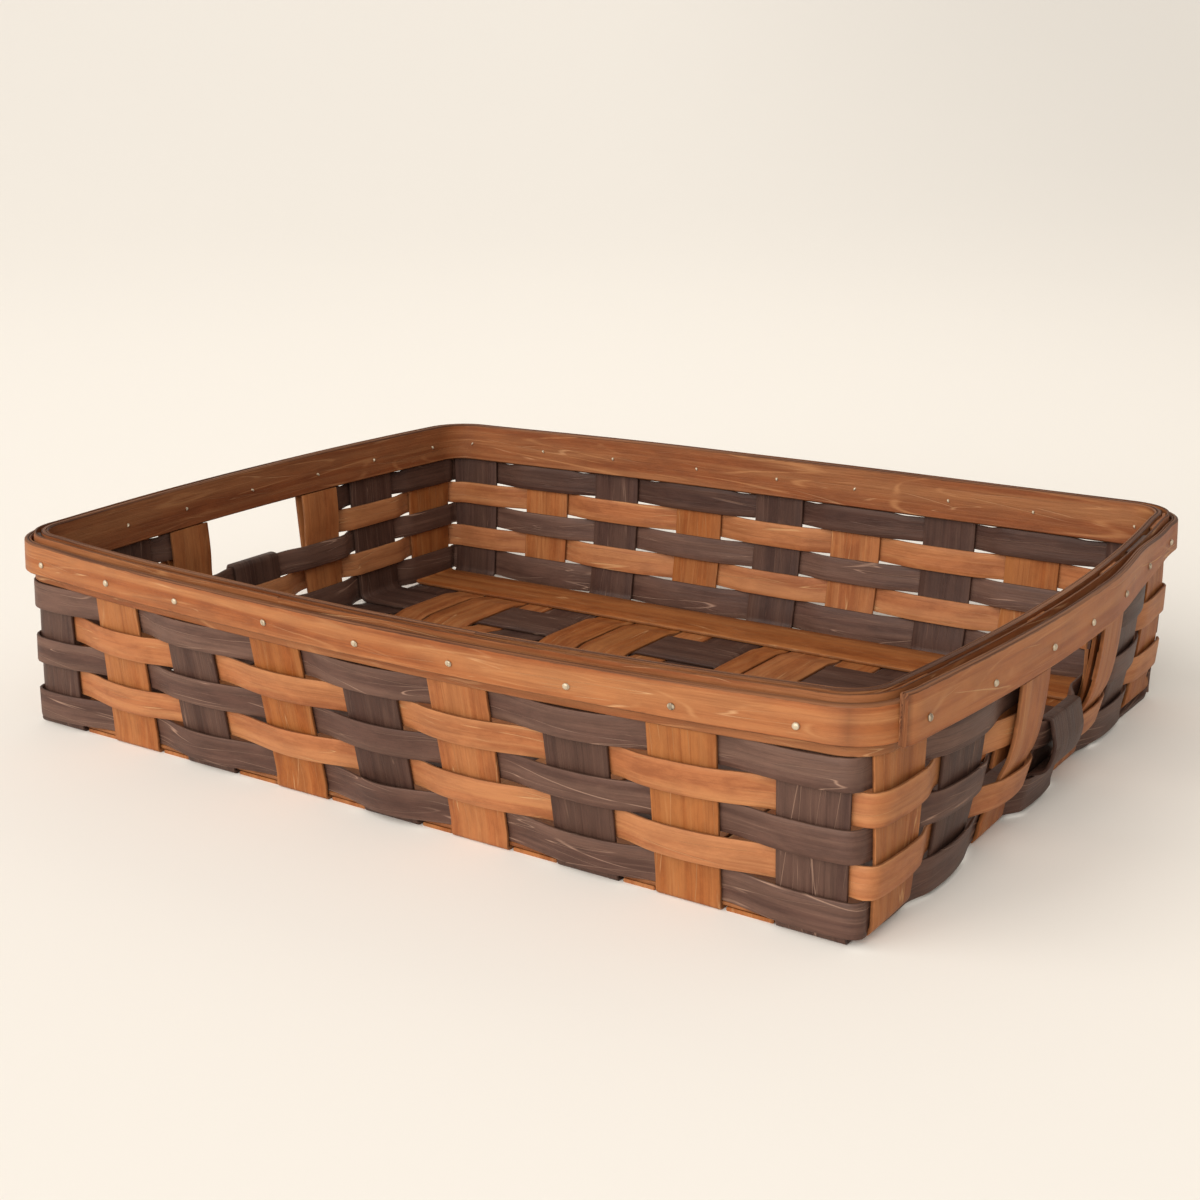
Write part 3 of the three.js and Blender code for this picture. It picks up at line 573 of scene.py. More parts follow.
class WeaverPath:
    """A course's way round the walls: stations as (side, u, place on the walk, first and last edge)."""

    step = 0.0022
    end_inset = 0.007
    inner_crown = 0.0002
    crown_range = (0.75, 1.3)

    def __init__(self, layout, row, sides, keep, rng):
        self.layout = layout
        low, high = layout.courses[row]
        self.middle_height = (low + high) / 2
        spans, stations, base = [], [], 0.0
        for side in sides:
            near, far = layout.wall_ends(side, self.middle_height)
            met = [c for c in layout.crossings(side) if keep(side, c[0])]
            whole = len(met) == len(layout.crossings(side))
            edges = [(u - width / 2, u + width / 2) for _, u, width, _ in met]
            starts = near if whole or side == sides[-1] else edges[0][0] + self.end_inset
            ends = far if whole or side == sides[0] else edges[-1][1] - self.end_inset
            for crossing, (left, right) in zip(met, edges):
                spans.append(self.span(row, side, crossing, base - near + left, base - near + right, rng))
            count = int(math.ceil((ends - starts) / self.step))
            us = np.linspace(starts, ends, count, endpoint=ends != far)
            stations += [(side, u, base - near + u, edges[0][0], edges[-1][1]) for u in us]
            base += far - near
        self.total = base
        self.spans = spans
        self.stations = stations
        self.closed = len(sides) == 4

    def span(self, row, side, crossing, start, end, rng):
        """A stretch over or behind one stake, as (start, end, reach, crown)."""
        number, _, _, dark = crossing
        outside = dark == (row % 2 == 0)
        reach = self.layout.weaver_reach + self.tucked_room(row, side, number)
        crown = self.inner_crown
        if outside:
            crown = self.layout.sizes.weaver_crown * rng.uniform(*self.crown_range)
        sign = 1 if outside else -1
        return start, end, sign * reach, sign * crown

    def tucked_room(self, row, side, number):
        """Room for a splint's end tucked between a stake and a course."""
        if side in (FRONT, BACK):
            return 0.0
        under_tail = row == 0 and number == self.layout.middle
        under_liner = row in (1, 2) and number in self.layout.posts
        return self.layout.tucked_reach if under_tail or under_liner else 0.0

    def reach_at(self, places):
        """How far outwards the weaver lies at each place of its walk."""
        n = np.zeros_like(places)
        spans = list(self.spans)
        if self.closed:
            first, last = self.spans[0], self.spans[-1]
            spans.insert(0, (last[0] - self.total, last[1] - self.total, *last[2:]))
            spans.append((first[0] + self.total, first[1] + self.total, *first[2:]))
        for start, end, level, crown in spans:
            over = (places >= start) & (places <= end)
            t = (places[over] - (start + end) / 2) / ((end - start) / 2)
            n[over] = level + crown * (1 - t * t)
        for (start, end, level, crown), following in zip(spans, spans[1:]):
            next_start, next_end, next_level, next_crown = following
            gap = next_start - end
            between = (places > end) & (places < next_start)
            out_slope = -4 * crown / (end - start) * gap
            in_slope = 4 * next_crown / (next_end - next_start) * gap
            n[between] = hermite((places[between] - end) / gap, level, next_level, out_slope, in_slope)
        return n


def weaver_rows(layout, row, path, section, rng, bulges):
    """Rows of a weaver along its path, wandering a little as woven by hand."""
    s = layout.sizes
    low, high = layout.courses[row]
    places = np.array([station[2] for station in path.stations])
    reach = path.reach_at(places)
    for place, size, width in bulges:
        reach += size * np.exp(-((places - place) / width) ** 2)
    rise_waves, tilt_waves, slack_waves = 9, 23, 31
    tilt_size, slack_size, fold_half, sag_run = 0.00022, 0.022, 0.022, 0.03
    rise = s.weaver_wobble * wander(rng, places, path.total, rise_waves)
    for station, (side, u, *_) in enumerate(path.stations):
        if row == WHOLE_COURSES - 1 and side in (LEFT, RIGHT):
            fold = layout.crossings(side)[layout.middle][1]
            rise[station] -= s.fold_sag * math.exp(-((u - fold) / fold_half) ** 4)
    tilt = tilt_size * wander(rng, places, path.total, tilt_waves)
    slack = 1 + slack_size * wander(rng, places, path.total, slack_waves)
    rows = []
    for station, n, dz, lean, width in zip(path.stations, reach, rise, tilt, slack):
        side, u, _, first_edge, last_edge = station
        z = (low + high) / 2 + dz + section.across * width
        if row == 0 and side != FRONT:
            sag = smoothstep((layout.run[side] - abs(u)) / sag_run) if side != BACK else 1.0
            z = np.where(section.across < 0, z - s.bottom_course_sag * sag, z)
        if row == len(layout.courses) - 1:
            lift = s.top_course_lift * smoothstep(-n / layout.weaver_reach)
            z = np.where(section.across > 0, z + lift, z)
        if u > last_edge or u < first_edge:
            edge, direction = (last_edge, 1) if u > last_edge else (first_edge, -1)
            u = layout.round_corner(side, u, edge, direction, path.middle_height, z)
        out = n + section.through + lean * section.across / section.across.max()
        rows.append(layout.wall(side, u, z, out))
    return np.array(rows)


# Shader nodes

class Tree:
    """Short ways to add shader nodes to a tree."""

    def __init__(self, tree):
        self.tree = tree

    def connect(self, socket, value):
        """Links an input to another node's output, or sets it to a plain value."""
        if isinstance(value, bpy.types.NodeSocket):
            self.tree.links.new(value, socket)
        else:
            socket.default_value = value

    def add(self, kind, settings=None, inputs=None):
        node = self.tree.nodes.new(kind)
        for name, value in (settings or {}).items():
            setattr(node, name, value)
        for key, value in (inputs or {}).items():
            self.connect(node.inputs[key], value)
        return node

    def attribute(self, name, output):
        return self.add("ShaderNodeAttribute", {"attribute_name": name}).outputs[output]

    def math(self, operation, first, second=0.0, third=0.0, clamp=False):
        inputs = {0: first, 1: second, 2: third}
        return self.add("ShaderNodeMath", {"operation": operation, "use_clamp": clamp}, inputs).outputs[0]

    def dot(self, vector, way):
        inputs = {0: vector, 1: way}
        return self.add("ShaderNodeVectorMath", {"operation": "DOT_PRODUCT"}, inputs).outputs["Value"]

    def noise(self, grain, along, across, shift, detail=2.0, roughness=0.5, distortion=0.0):
        """Noise over grain coordinates, at a rate along and a rate across, moved on by a shift."""
        moved = self.add("ShaderNodeVectorMath", {"operation": "MULTIPLY_ADD"}, {
            0: grain, 1: (along, across, 1.0), 2: (shift, shift * 1.7, shift * 0.6)}).outputs[0]
        inputs = {"Vector": moved, "Scale": 1.0, "Detail": detail, "Roughness": roughness,
                  "Distortion": distortion}
        return self.add("ShaderNodeTexNoise", {"noise_dimensions": "3D"}, inputs).outputs["Fac"]

    def ramp(self, value, low, high, start=0.0, end=1.0):
        inputs = {"Value": value, "From Min": low, "From Max": high, "To Min": start, "To Max": end}
        return self.add("ShaderNodeMapRange", {"interpolation_type": "SMOOTHSTEP"}, inputs).outputs[0]

    def mix(self, factor, first, second):
        """A mix of two colours."""
        node = self.add("ShaderNodeMix", {"data_type": "RGBA"})
        sockets = {socket.identifier: socket for socket in (*node.inputs, *node.outputs)}
        self.connect(sockets["Factor_Float"], factor)
        for key, value in (("A_Color", first), ("B_Color", second)):
            self.connect(sockets[key], value if isinstance(value, bpy.types.NodeSocket) else (*value, 1.0))
        return sockets["Result_Color"]

    def blend(self, mask, amount, first, second):
        """A mix of two colours by an amount of a mask."""
        return self.mix(self.math("MULTIPLY", mask, amount), first, second)

    def bump(self, strength, distance, height):
        inputs = {"Strength": strength, "Distance": distance, "Height": height}
        return self.add("ShaderNodeBump", inputs=inputs).outputs["Normal"]


def fibre_masks(tree, given):
    """Masks of wood grain along a splint: fine fibres, broad streaks and blotches of stain."""
    grain = tree.attribute("grain", "Vector")
    fine = tree.noise(grain, along=30, across=1250, shift=3.1, detail=3.0, roughness=0.62)
    coarse = tree.noise(grain, along=15, across=460, shift=8.7, roughness=0.55)
    both = tree.math("MULTIPLY", tree.math("ADD", fine, coarse), 0.5)
    centred = tree.math("SUBTRACT", both, 0.5)
    fibres = tree.math("MULTIPLY_ADD", centred, given["Fibre contrast"], 0.5)
    streaks = tree.noise(grain, along=5, across=130, shift=14.3, distortion=0.4)
    blotches = tree.noise(grain, along=46, across=105, shift=21.9, detail=6.0, roughness=0.72)
    return fibres, tree.ramp(streaks, low=0.34, high=0.66), tree.ramp(blotches, low=0.36, high=0.64)


def figure_masks(tree, given):
    """Masks of the cathedral figure of flat-sawn wood, and of scratches where fibres lifted."""
    grain = tree.attribute("grain", "Vector")
    field = tree.noise(grain, along=5.5, across=52, shift=31.3, detail=1.0, roughness=0.4, distortion=0.15)
    rings = tree.math("PINGPONG", tree.math("MULTIPLY", field, given["Lines"]), 0.5)
    figure = tree.math("SUBTRACT", 1.0, tree.ramp(rings, 0.0, given["Line width"]))
    broken = tree.ramp(tree.noise(grain, along=30, across=160, shift=5.5), low=0.40, high=0.62)
    layers = []
    for along, across, shift, slant in ((4, 110, 41.7, 0.10), (7, 200, 53.9, -0.05)):
        turned = tree.add("ShaderNodeVectorRotate", {"rotation_type": "Z_AXIS"}, {
            "Vector": grain, "Angle": slant}).outputs[0]
        ridge = tree.noise(turned, along, across, shift, detail=1.0, roughness=0.4, distortion=0.06)
        away = tree.math("ABSOLUTE", tree.math("SUBTRACT", ridge, 0.5))
        mark = tree.math("SUBTRACT", 1.0, tree.ramp(away, 0.0, given["Scratch width"]))
        patch = tree.noise(grain, along=24, across=130, shift=shift + 7, roughness=0.6)
        limit = tree.math("SUBTRACT", 1.0, given["Scratch share"])
        shown = tree.ramp(tree.math("SUBTRACT", patch, limit), low=-0.04, high=0.08)
        layers.append(tree.math("MULTIPLY", mark, shown))
    return tree.math("MULTIPLY", figure, broken), tree.math("MAXIMUM", *layers)


def wear_masks(tree, given):
    """Masks of rubbed edges, broken up by noise, and of the wood's layers where they show in an edge."""
    worn = tree.attribute("worn", "Fac")
    grain = tree.attribute("grain", "Vector")
    speckle = tree.noise(grain, along=120, across=300, shift=63.1, detail=3.0, roughness=0.6)
    layers = tree.noise(grain, along=7, across=900, shift=71.3, detail=3.0, roughness=0.6)
    edge_share = 0.75
    reach = tree.math("MULTIPLY_ADD", worn, edge_share, tree.math("SUBTRACT", speckle, 0.5))
    threshold = tree.math("SUBTRACT", 1.0, given["Spread"])
    rubbed = tree.ramp(tree.math("SUBTRACT", reach, threshold), low=-0.15, high=0.25)
    return rubbed, tree.math("MULTIPLY", worn, tree.ramp(layers, low=0.40, high=0.60))


# Each shared group of nodes: what builds it, its inputs and its outputs
GROUPS = {
    "Splint fibres": (fibre_masks, {"Fibre contrast": 1.0}, ("Fibres", "Streaks", "Blotches")),
    "Splint figure": (
        figure_masks, {"Lines": 9.0, "Line width": 0.16, "Scratch width": 0.013, "Scratch share": 0.5},
        ("Figure", "Scratches")),
    "Worn edges": (wear_masks, {"Spread": 0.5}, ("Worn", "Layers")),
}


def node_group(name):
    """One of the shared groups of nodes, made when first asked for."""
    existing = bpy.data.node_groups.get(name)
    if existing:
        return existing
    build, inputs, outputs = GROUPS[name]
    group = bpy.data.node_groups.new(name, "ShaderNodeTree")
    for label, value in inputs.items():
        socket = group.interface.new_socket(label, in_out="INPUT", socket_type="NodeSocketFloat")
        socket.default_value = value
    for label in outputs:
        group.interface.new_socket(label, in_out="OUTPUT", socket_type="NodeSocketFloat")
    given, result = (group.nodes.new(kind) for kind in ("NodeGroupInput", "NodeGroupOutput"))
    for label, value in zip(outputs, build(Tree(group), given.outputs)):
        group.links.new(value, result.inputs[label])
    return group


# Finishes

LOOKS = {
    "light_splint": dict(
        fibres=1.15, lines=6.0, line_width=0.09, scratch_width=0.009, scratch_share=0.45, wear_spread=0.46,
        blotches=0.66, streaks=0.40, fibre_dark=0.55, fibre_pale=0.42, hue_drift=0.010, fading=-0.30,
        figure=0.28, scratches=0.70, scratch=(0.50, 0.27, 0.12), wear=0.62, edge=(0.085, 0.025, 0.008),
        layers=0.12, torn=(0.42, 0.20, 0.08), roughness=0.44, specular=0.20, bump=0.75),
    "dark_splint": dict(
        fibres=1.2, lines=7.0, line_width=0.10, scratch_width=0.007, scratch_share=0.53, wear_spread=0.46,
        blotches=0.55, streaks=0.22, fibre_dark=0.55, fibre_pale=0.26, hue_drift=0.006, fading=-0.10,
        figure=0.10, scratches=0.85, scratch=(0.30, 0.180, 0.125), wear=0.55, edge=(0.020, 0.009, 0.006),
        layers=0.10, torn=(0.16, 0.09, 0.06), roughness=0.42, specular=0.24, bump=0.75),
    "rim_wood": dict(
        fibres=1.2, lines=9.0, line_width=0.11, scratch_width=0.009, scratch_share=0.46, wear_spread=0.66,
        blotches=0.52, streaks=0.42, fibre_dark=0.50, fibre_pale=0.40, hue_drift=0.006, fading=0.0,
        figure=0.50, scratches=0.70, scratch=(0.52, 0.29, 0.14), wear=0.90, edge=(0.050, 0.015, 0.006),
        layers=0.50, torn=(0.33, 0.135, 0.055), roughness=0.42, specular=0.20, bump=0.7),
}


def new_material(name):
    """A fresh material, with its tree and its shader's inputs."""
    material = bpy.data.materials.new(name)
    material.use_nodes = True
    return material, Tree(material.node_tree), material.node_tree.nodes["Principled BSDF"].inputs


def wood_material(name, base, deep, pale, look):
    """Stained wood: fibres, streaks, figure, scratches and worn edges, in three tones."""
    material, tree, shader = new_material(name)
    groups = {
        "Splint fibres": {"Fibre contrast": look["fibres"]},
        "Splint figure": {"Lines": look["lines"], "Line width": look["line_width"],
                          "Scratch width": look["scratch_width"], "Scratch share": look["scratch_share"]},
        "Worn edges": {"Spread": look["wear_spread"]}}
    fibres, figure, wear = (
        tree.add("ShaderNodeGroup", {"node_tree": node_group(group)}, inputs).outputs
        for group, inputs in groups.items())
    tone = tree.attribute("tone", "Fac")
    stain = tree.blend(fibres["Blotches"], look["blotches"], base, deep)
    stain = tree.blend(fibres["Streaks"], look["streaks"], stain, pale)
    stain = tree.blend(tree.ramp(fibres["Fibres"], 0.52, 0.25), look["fibre_dark"], stain, deep)
    stain = tree.blend(tree.ramp(fibres["Fibres"], 0.52, 0.78), look["fibre_pale"], stain, pale)
    toned = tree.add("ShaderNodeHueSaturation", inputs={
        "Hue": tree.math("MULTIPLY_ADD", tone, look["hue_drift"], 0.5),
        "Saturation": tree.math("MULTIPLY_ADD", tone, look["fading"], 1.0),
        "Value": tree.math("ADD", tone, 1.0),
        "Color": stain}).outputs["Color"]
    lined = tree.blend(figure["Figure"], look["figure"], toned, pale)
    bared = tree.math("MULTIPLY", tree.ramp(tone, low=-0.35, high=0.0, start=0.2), look["scratches"])
    scratched = tree.blend(figure["Scratches"], bared, lined, look["scratch"])
    edged = tree.blend(wear["Worn"], look["wear"], scratched, look["edge"])
    edged = tree.blend(wear["Layers"], look["layers"], edged, look["torn"])
    fibre_roughness, scratch_roughness = 0.22, 0.15
    rough = tree.math("MULTIPLY_ADD", fibres["Fibres"], fibre_roughness, look["roughness"])
    rough = tree.math("MULTIPLY_ADD", figure["Scratches"], scratch_roughness, rough)
    fibre_height, blotch_height, scratch_height, bump_distance = 0.8, 0.25, -0.55, 0.0004
    height = tree.math("MULTIPLY", fibres["Blotches"], blotch_height)
    height = tree.math("MULTIPLY_ADD", fibres["Fibres"], fibre_height, height)
    height = tree.math("MULTIPLY_ADD", figure["Scratches"], scratch_height, height)
    tree.connect(shader["Base Color"], edged)
    tree.connect(shader["Roughness"], rough)
    tree.connect(shader["Specular IOR Level"], look["specular"])
    tree.connect(shader["Normal"], tree.bump(look["bump"], bump_distance, height))
    return material


def nail_material(name, colours):
    """Dulled bright steel with darker patches."""
    material, tree, shader = new_material(name)
    place = tree.add("ShaderNodeTexCoord").outputs["Object"]
    spots = tree.noise(place, along=900, across=900, shift=2.2, detail=3.0, roughness=0.6)
    dull = tree.ramp(spots, low=0.48, high=0.70)
    metallic, bright_roughness, dull_roughness, bump, bump_distance = 0.35, 0.38, 0.25, 0.3, 0.0002
    tree.connect(shader["Base Color"], tree.mix(dull, colours.nail, colours.nail_dull))
    tree.connect(shader["Metallic"], metallic)
    tree.connect(shader["Roughness"], tree.math("MULTIPLY_ADD", dull, dull_roughness, bright_roughness))
    tree.connect(shader["Normal"], tree.bump(bump, bump_distance, spots))
    return material


def finish(slot):
    """The material of one of the record's slots, made when first asked for."""
    names = {"light_splint": "Light stained splint", "dark_splint": "Dark stained splint",
             "rim_wood": "Stained rim wood", "nail_metal": "Dulled nail steel"}
    existing = bpy.data.materials.get(names[slot])
    if existing:
        return existing
    colours = bpy.context.scene.splint_tray_colours
    if slot == "nail_metal":
        return nail_material(names[slot], colours)
    kind = slot.split("_")[0]
    base, deep, pale = (getattr(colours, f"{kind}_{tone}") for tone in ("base", "deep", "pale"))
    return wood_material(names[slot], base, deep, pale, LOOKS[slot])


# Rim and nails

BAND_STEP = 0.003
BAND_WOBBLE = 0.00022

# A nail's bent tip, as (place behind the band, drop, radius, turn), and its head, as (height, radius)
NAIL_TIP = ((-0.35, 1.0, 0.3, 1.5), (-0.5, 0.8, 0.6, 1.5), (-0.6, 0.35, 0.75, 1.3), (-0.3, 0.0, 0.8, 0.6))
NAIL_HEAD = ((0.0, 0.92), (0.00025, 1.0), (0.0006, 0.93), (0.00085, 0.72), (0.00098, 0.4), (0.00102, 0.12))


def band_section(faces, bottom, top, rounding, bevel=(0.0, 0.0)):
    """A band's cross-section as (n, z, worn), with its edges and its split top marked as worn."""
    inner, outer = faces
    depth, height = bevel
    edge = 0.0003
    shoulder = top - (height or rounding)
    crest = outer - (depth or rounding)
    split, split_depth, split_half = 0.45 * crest + 0.55 * inner, 0.0009, 0.00022
    outside = [(outer, bottom + part * (shoulder - bottom), 0) for part in (0.35, 0.7)]
    inside = [(inner, bottom + part * (top - bottom), 0) for part in (0.6, 0.3)]
    points = [
        (outer - rounding, bottom, 0.6), (outer, bottom + rounding, 0.15), *outside,
        (outer, shoulder - edge, 0), (outer - 0.05 * depth, shoulder + edge, 0.9),
        (crest + edge, top - edge, 1), (crest - edge, top, 1),
        (split + split_half, top - 0.1 * split_depth, 1), (split, top - split_depth, 1),
        (split - split_half, top - 0.2 * split_depth, 1), (inner + rounding, top, 1),
        (inner, top - rounding, 0.9), (inner, top - 2 * rounding, 0), *inside,
        (inner, bottom + rounding, 0.15), (inner + rounding, bottom, 0.6)]
    return np.array(points).T


def band_walk(layout, sides):
    """Stations round the rim, as (side, u)."""
    stations = []
    for side in sides:
        near, far = layout.wall_ends(side, layout.rim_top)
        us = np.linspace(near, far, int((far - near) / BAND_STEP), endpoint=False)
        stations += [(side, u) for u in us]
    return stations


def band_rows(layout, stations, section, rng):
    """Rows of a band along stations of (side, u, push outwards, is straight, share of the full height)."""
    s = layout.sizes
    n, z, _ = section
    places = np.linspace(0, 1, len(stations))
    rise_waves, sway_waves, sway_share, bottom_share = 14, 17, 0.5, 0.4
    rise = BAND_WOBBLE * wander(rng, places, 1.0, rise_waves)
    sway = BAND_WOBBLE * sway_share * wander(rng, places, 1.0, sway_waves)
    top = z > z.mean()
    fuller = np.where(top, s.outer_top_drop + s.lap_lift, -s.outer_lift)
    rows = []
    for (side, u, push, straight, full), dz, dn in zip(stations, rise, sway):
        direction = 1 if u > 0 else -1
        edge = layout.straight_end(side, direction)
        heights = z + np.where(top, dz, bottom_share * dz) + full * fuller
        if not straight and u * direction > edge * direction:
            u = layout.round_corner(side, u, edge, direction, layout.rim_top, heights)
        rows.append(layout.wall(side, u, heights, n + push + dn, straight))
    return np.array(rows)


def band_piece(layout, node, stations, section, rng, seed, tones):
    """One band as a piece with its finish."""
    rows = band_rows(layout, stations, section, rng)
    n, z, worn = section
    along, girth = run_lengths(rows.mean(axis=1)), run_lengths(np.stack([n, z], 1))
    mesh = swept_mesh(node + "_wood", rows, along, girth, worn, tones, seed)
    return add_piece(node + "_wood", mesh, finish("rim_wood"), [node])


def ring_band(layout, node, section, seam, rng, seed, tone):
    """A band that runs once round the rim from a seam on the front wall."""
    walk = band_walk(layout, (FRONT, RIGHT, BACK, LEFT, FRONT))
    front = band_walk(layout, (FRONT,))
    begin = sum(u < seam for _, u in front)
    around = walk[begin:begin + len(walk) - len(front) + 1]
    stations = [(side, u, 0.0, False, 0.0) for side, u in around]
    return band_piece(layout, node, stations, section, rng, seed, np.full(len(stations), tone))


def lap_push(layout, u):
    """How far the outer band is pushed out along the right wall, where it laps over its own end."""
    s = layout.sizes
    return layout.lap_push * (1 - smoothstep((u - s.lap_inner_end) / s.lap_ramp))


def outer_tones(stations, tone):
    """Tones along the outer band, lighter all along as a painted sheen: dark at its ends, and a painted
    shadow by its free end.
    """
    end_darkening, painted_shadow, shadow_run, shadow_lead = 0.5, 0.35, 0.0028, 2
    tones = np.full(len(stations), tone)
    tones[[0, -1]] -= end_darkening
    under = [k for k, (side, u, push, *_) in enumerate(stations) if side == RIGHT and not push and u < 0]
    away = (np.arange(len(stations)) - under[0] + shadow_lead) * BAND_STEP
    # A painted shadow darkens the band just beside its free end, where that end stands off over it.
    return tones - painted_shadow * np.exp(-(away / shadow_run) ** 2)


def outer_band_stations(layout):
    """The outer band from its free end by the front right corner, all round, to its end under itself."""
    s = layout.sizes
    near, far = layout.wall_ends(RIGHT, layout.rim_top)
    straight_end = layout.straight_end(RIGHT, -1)
    free = np.arange(straight_end - s.lap_overhang, far, BAND_STEP)
    bends = s.lap_bend * np.maximum(0, (straight_end - free) / s.lap_overhang) ** 2
    full_end, full_run = 0.07, 0.07
    shares = 1 - smoothstep((free - full_end) / full_run)
    pushes = lap_push(layout, free) - bends
    stations = [(RIGHT, u, push, u < 0, full) for u, push, full in zip(free, pushes, shares)]
    rest = band_walk(layout, (BACK, LEFT, FRONT))
    rest += [(RIGHT, u) for u in np.arange(near, s.lap_inner_end, BAND_STEP)]
    return stations + [(side, u, 0.0, False, 0.0) for side, u in rest]


def nail_rows(layout, side, u, drop_by, rng):
    """Rings of a nail from its clinched tip inside, through the rim, to its domed head."""
    s = layout.sizes
    push = float(lap_push(layout, u)) if side == RIGHT else 0.0
    back = -(layout.band_face + s.inner_band_thickness)
    seat_room, corners = 0.0001, 14
    seat = layout.outer_face + s.outer_band_thickness + push + seat_room
    shank, head = s.nail_shank_radius, s.nail_head_radius
    rings = [(back + place * shank, -drop * s.clinch_length, radius * shank, turn)
             for place, drop, radius, turn in NAIL_TIP]
    rings += [(back + shank, 0, shank, 0), (seat, 0, shank, 0)]
    rings += [(seat + height, 0, radius * head, 0) for height, radius in NAIL_HEAD]
    angles = np.linspace(0, 2 * math.pi, corners, endpoint=False)
    lean = rng.uniform(-0.10, 0.10, 2)
    squash = rng.uniform(0.92, 1.06)
    spin = rng.uniform(-0.6, 0.6)
    middle = layout.nail_height - drop_by + rng.uniform(-0.0004, 0.0004)
    rows = []
    for n, drop, radius, turn in rings:
        across = radius * np.cos(angles)
        up = radius * np.sin(angles) * squash
        out = n - up * math.sin(turn) + (lean[0] * across + lean[1] * up) * (radius > shank)
        z = middle + drop * math.cos(spin) + up * math.cos(turn)
        rows.append(layout.wall(side, u + across + drop * math.sin(spin), z, out))
    return np.array(rows)


# Operators

class SPLINT_OT_crosswise_stakes(bpy.types.Operator):
    """Lays the crosswise stakes across the floor and up both long walls"""
    bl_idname = "splint_tray.crosswise_stakes"
    bl_label = "Crosswise stakes"
    seed, first_grain, grain_step = 11, 10.0, 3.7

    def execute(self, context):
        layout = Layout()
        rng = np.random.default_rng(self.seed)
        path = straight_path(layout)
        for number, (middle, width) in enumerate(layout.crosswise):
            dark = layout.is_dark(True, number)
            section = splint_section(layout, width, layout.sizes.stake_thickness)
            spans = layout.crosswise_spans(middle, dark)
            rows = stake_rows(layout, True, (middle, middle), section, spans, path)
            tone, grain = tone_of(rng, dark, True), self.first_grain + self.grain_step * number
            splint_piece(f"crosswise_stake_{number + 1}", rows, section, dark, tone, grain)
        return {"FINISHED"}


class SPLINT_OT_lengthwise_stakes(bpy.types.Operator):
    """Lays the lengthwise stakes along the floor and up both short walls, the middle one folded"""
    bl_idname = "splint_tray.lengthwise_stakes"
    bl_label = "Lengthwise stakes"
    seed, first_grain, grain_step = 23, 60.0, 4.3

    def execute(self, context):
        layout = Layout()
        rng = np.random.default_rng(self.seed)
        trims = dict(zip(layout.posts, (layout.sizes.post_trim, layout.sizes.post_trim / 2)))
        for number, (_, width) in enumerate(layout.lengthwise):
            dark = layout.is_dark(False, number)
            middles = layout.lengthwise_left[number][0], layout.lengthwise_right[number][0]
            section = splint_section(layout, width, layout.sizes.stake_thickness)
            path = folded_path(layout) if number == layout.middle else straight_path(layout)
            spans = layout.lengthwise_spans(number)
            front = None if number else layout.floor_front
            rows = stake_rows(layout, False, middles, section, spans, path, trims.get(number, 0.0), front)
            tone, grain = tone_of(rng, dark, True), self.first_grain + self.grain_step * number
            splint_piece(f"lengthwise_stake_{number + 1}", rows, section, dark, tone, grain)
        return {"FINISHED"}


class SPLINT_OT_floor_fillers(bpy.types.Operator):
    """Lays the light splints that close the gaps between the crosswise stakes in the floor"""
    bl_idname = "splint_tray.floor_fillers"
    bl_label = "Floor fillers"
    seed, first_grain, grain_step = 37, 110.0, 2.9

    def execute(self, context):
        layout = Layout()
        rng = np.random.default_rng(self.seed)
        for number, (middle, width) in enumerate(layout.fillers):
            section = splint_section(layout, width, layout.sizes.stake_thickness)
            spans = layout.crosswise_spans(middle, layout.is_dark(True, number + 1))
            rows = floor_rows(layout, True, (middle, middle), section, spans, (spans[0][0], spans[-1][1]))
            tone, grain = tone_of(rng, False, True), self.first_grain + self.grain_step * number
            splint_piece(f"floor_filler_{number + 1}", rows, section, False, tone, grain)
        return {"FINISHED"}


class SPLINT_OT_weavers(bpy.types.Operator):
    """Weaves the courses round the walls, the upper two in halves that end at the hand holes"""
    bl_idname = "splint_tray.weavers"
    bl_label = "Weavers"
    seed, seed_step, first_grain, grain_step = 51, 7, 150.0, 9.1

    # Courses that came out lighter or darker than the rest
    tones = {"weaver_course_1": 0.12, "weaver_course_3": 0.2, "weaver_course_5_front": 0.35,
             "weaver_course_5_back": -0.3}

    # A loose stretch of the bottom course: its place along the front wall, its bulge and its width
    loose_place, loose_bulge, loose_width = 0.002, 0.0017, 0.015

    def execute(self, context):
        layout = Layout()
        for row, (low, high) in enumerate(layout.courses):
            section = splint_section(layout, high - low, layout.sizes.weaver_thickness)
            for node, sides, keep in self.runs(layout, row):
                rng = np.random.default_rng(self.seed + self.seed_step * row + len(node))
                path = WeaverPath(layout, row, sides, keep, rng)
                rows = weaver_rows(layout, row, path, section, rng, self.bulges(row, path))
                dark = row % 2 == 0
                tone = self.tones.get(node, 0.0) + tone_of(rng, dark, False)
                splint_piece(node, rows, section, dark, tone, self.first_grain + self.grain_step * row)
        return {"FINISHED"}

    @staticmethod
    def runs(layout, row):
        """Each weaver of a course: its node, the walls in its order, and which of their stakes it meets."""
        node = f"weaver_course_{row + 1}"
        if row < WHOLE_COURSES:
            return [(node, (BACK, LEFT, FRONT, RIGHT), lambda side, stake: True)]
        first, last = layout.posts
        return [
            (node + "_front", (LEFT, FRONT, RIGHT), lambda side, stake: side == FRONT or stake <= first),
            (node + "_back", (RIGHT, BACK, LEFT), lambda side, stake: side == BACK or stake >= last)]

    def bulges(self, row, path):
        """Loose stretches of a course, as (place on its walk, size, width)."""
        if row:
            return []
        walk = (place for side, u, place, *_ in path.stations if side == FRONT and u > self.loose_place)
        return [(next(walk), self.loose_bulge, self.loose_width)]


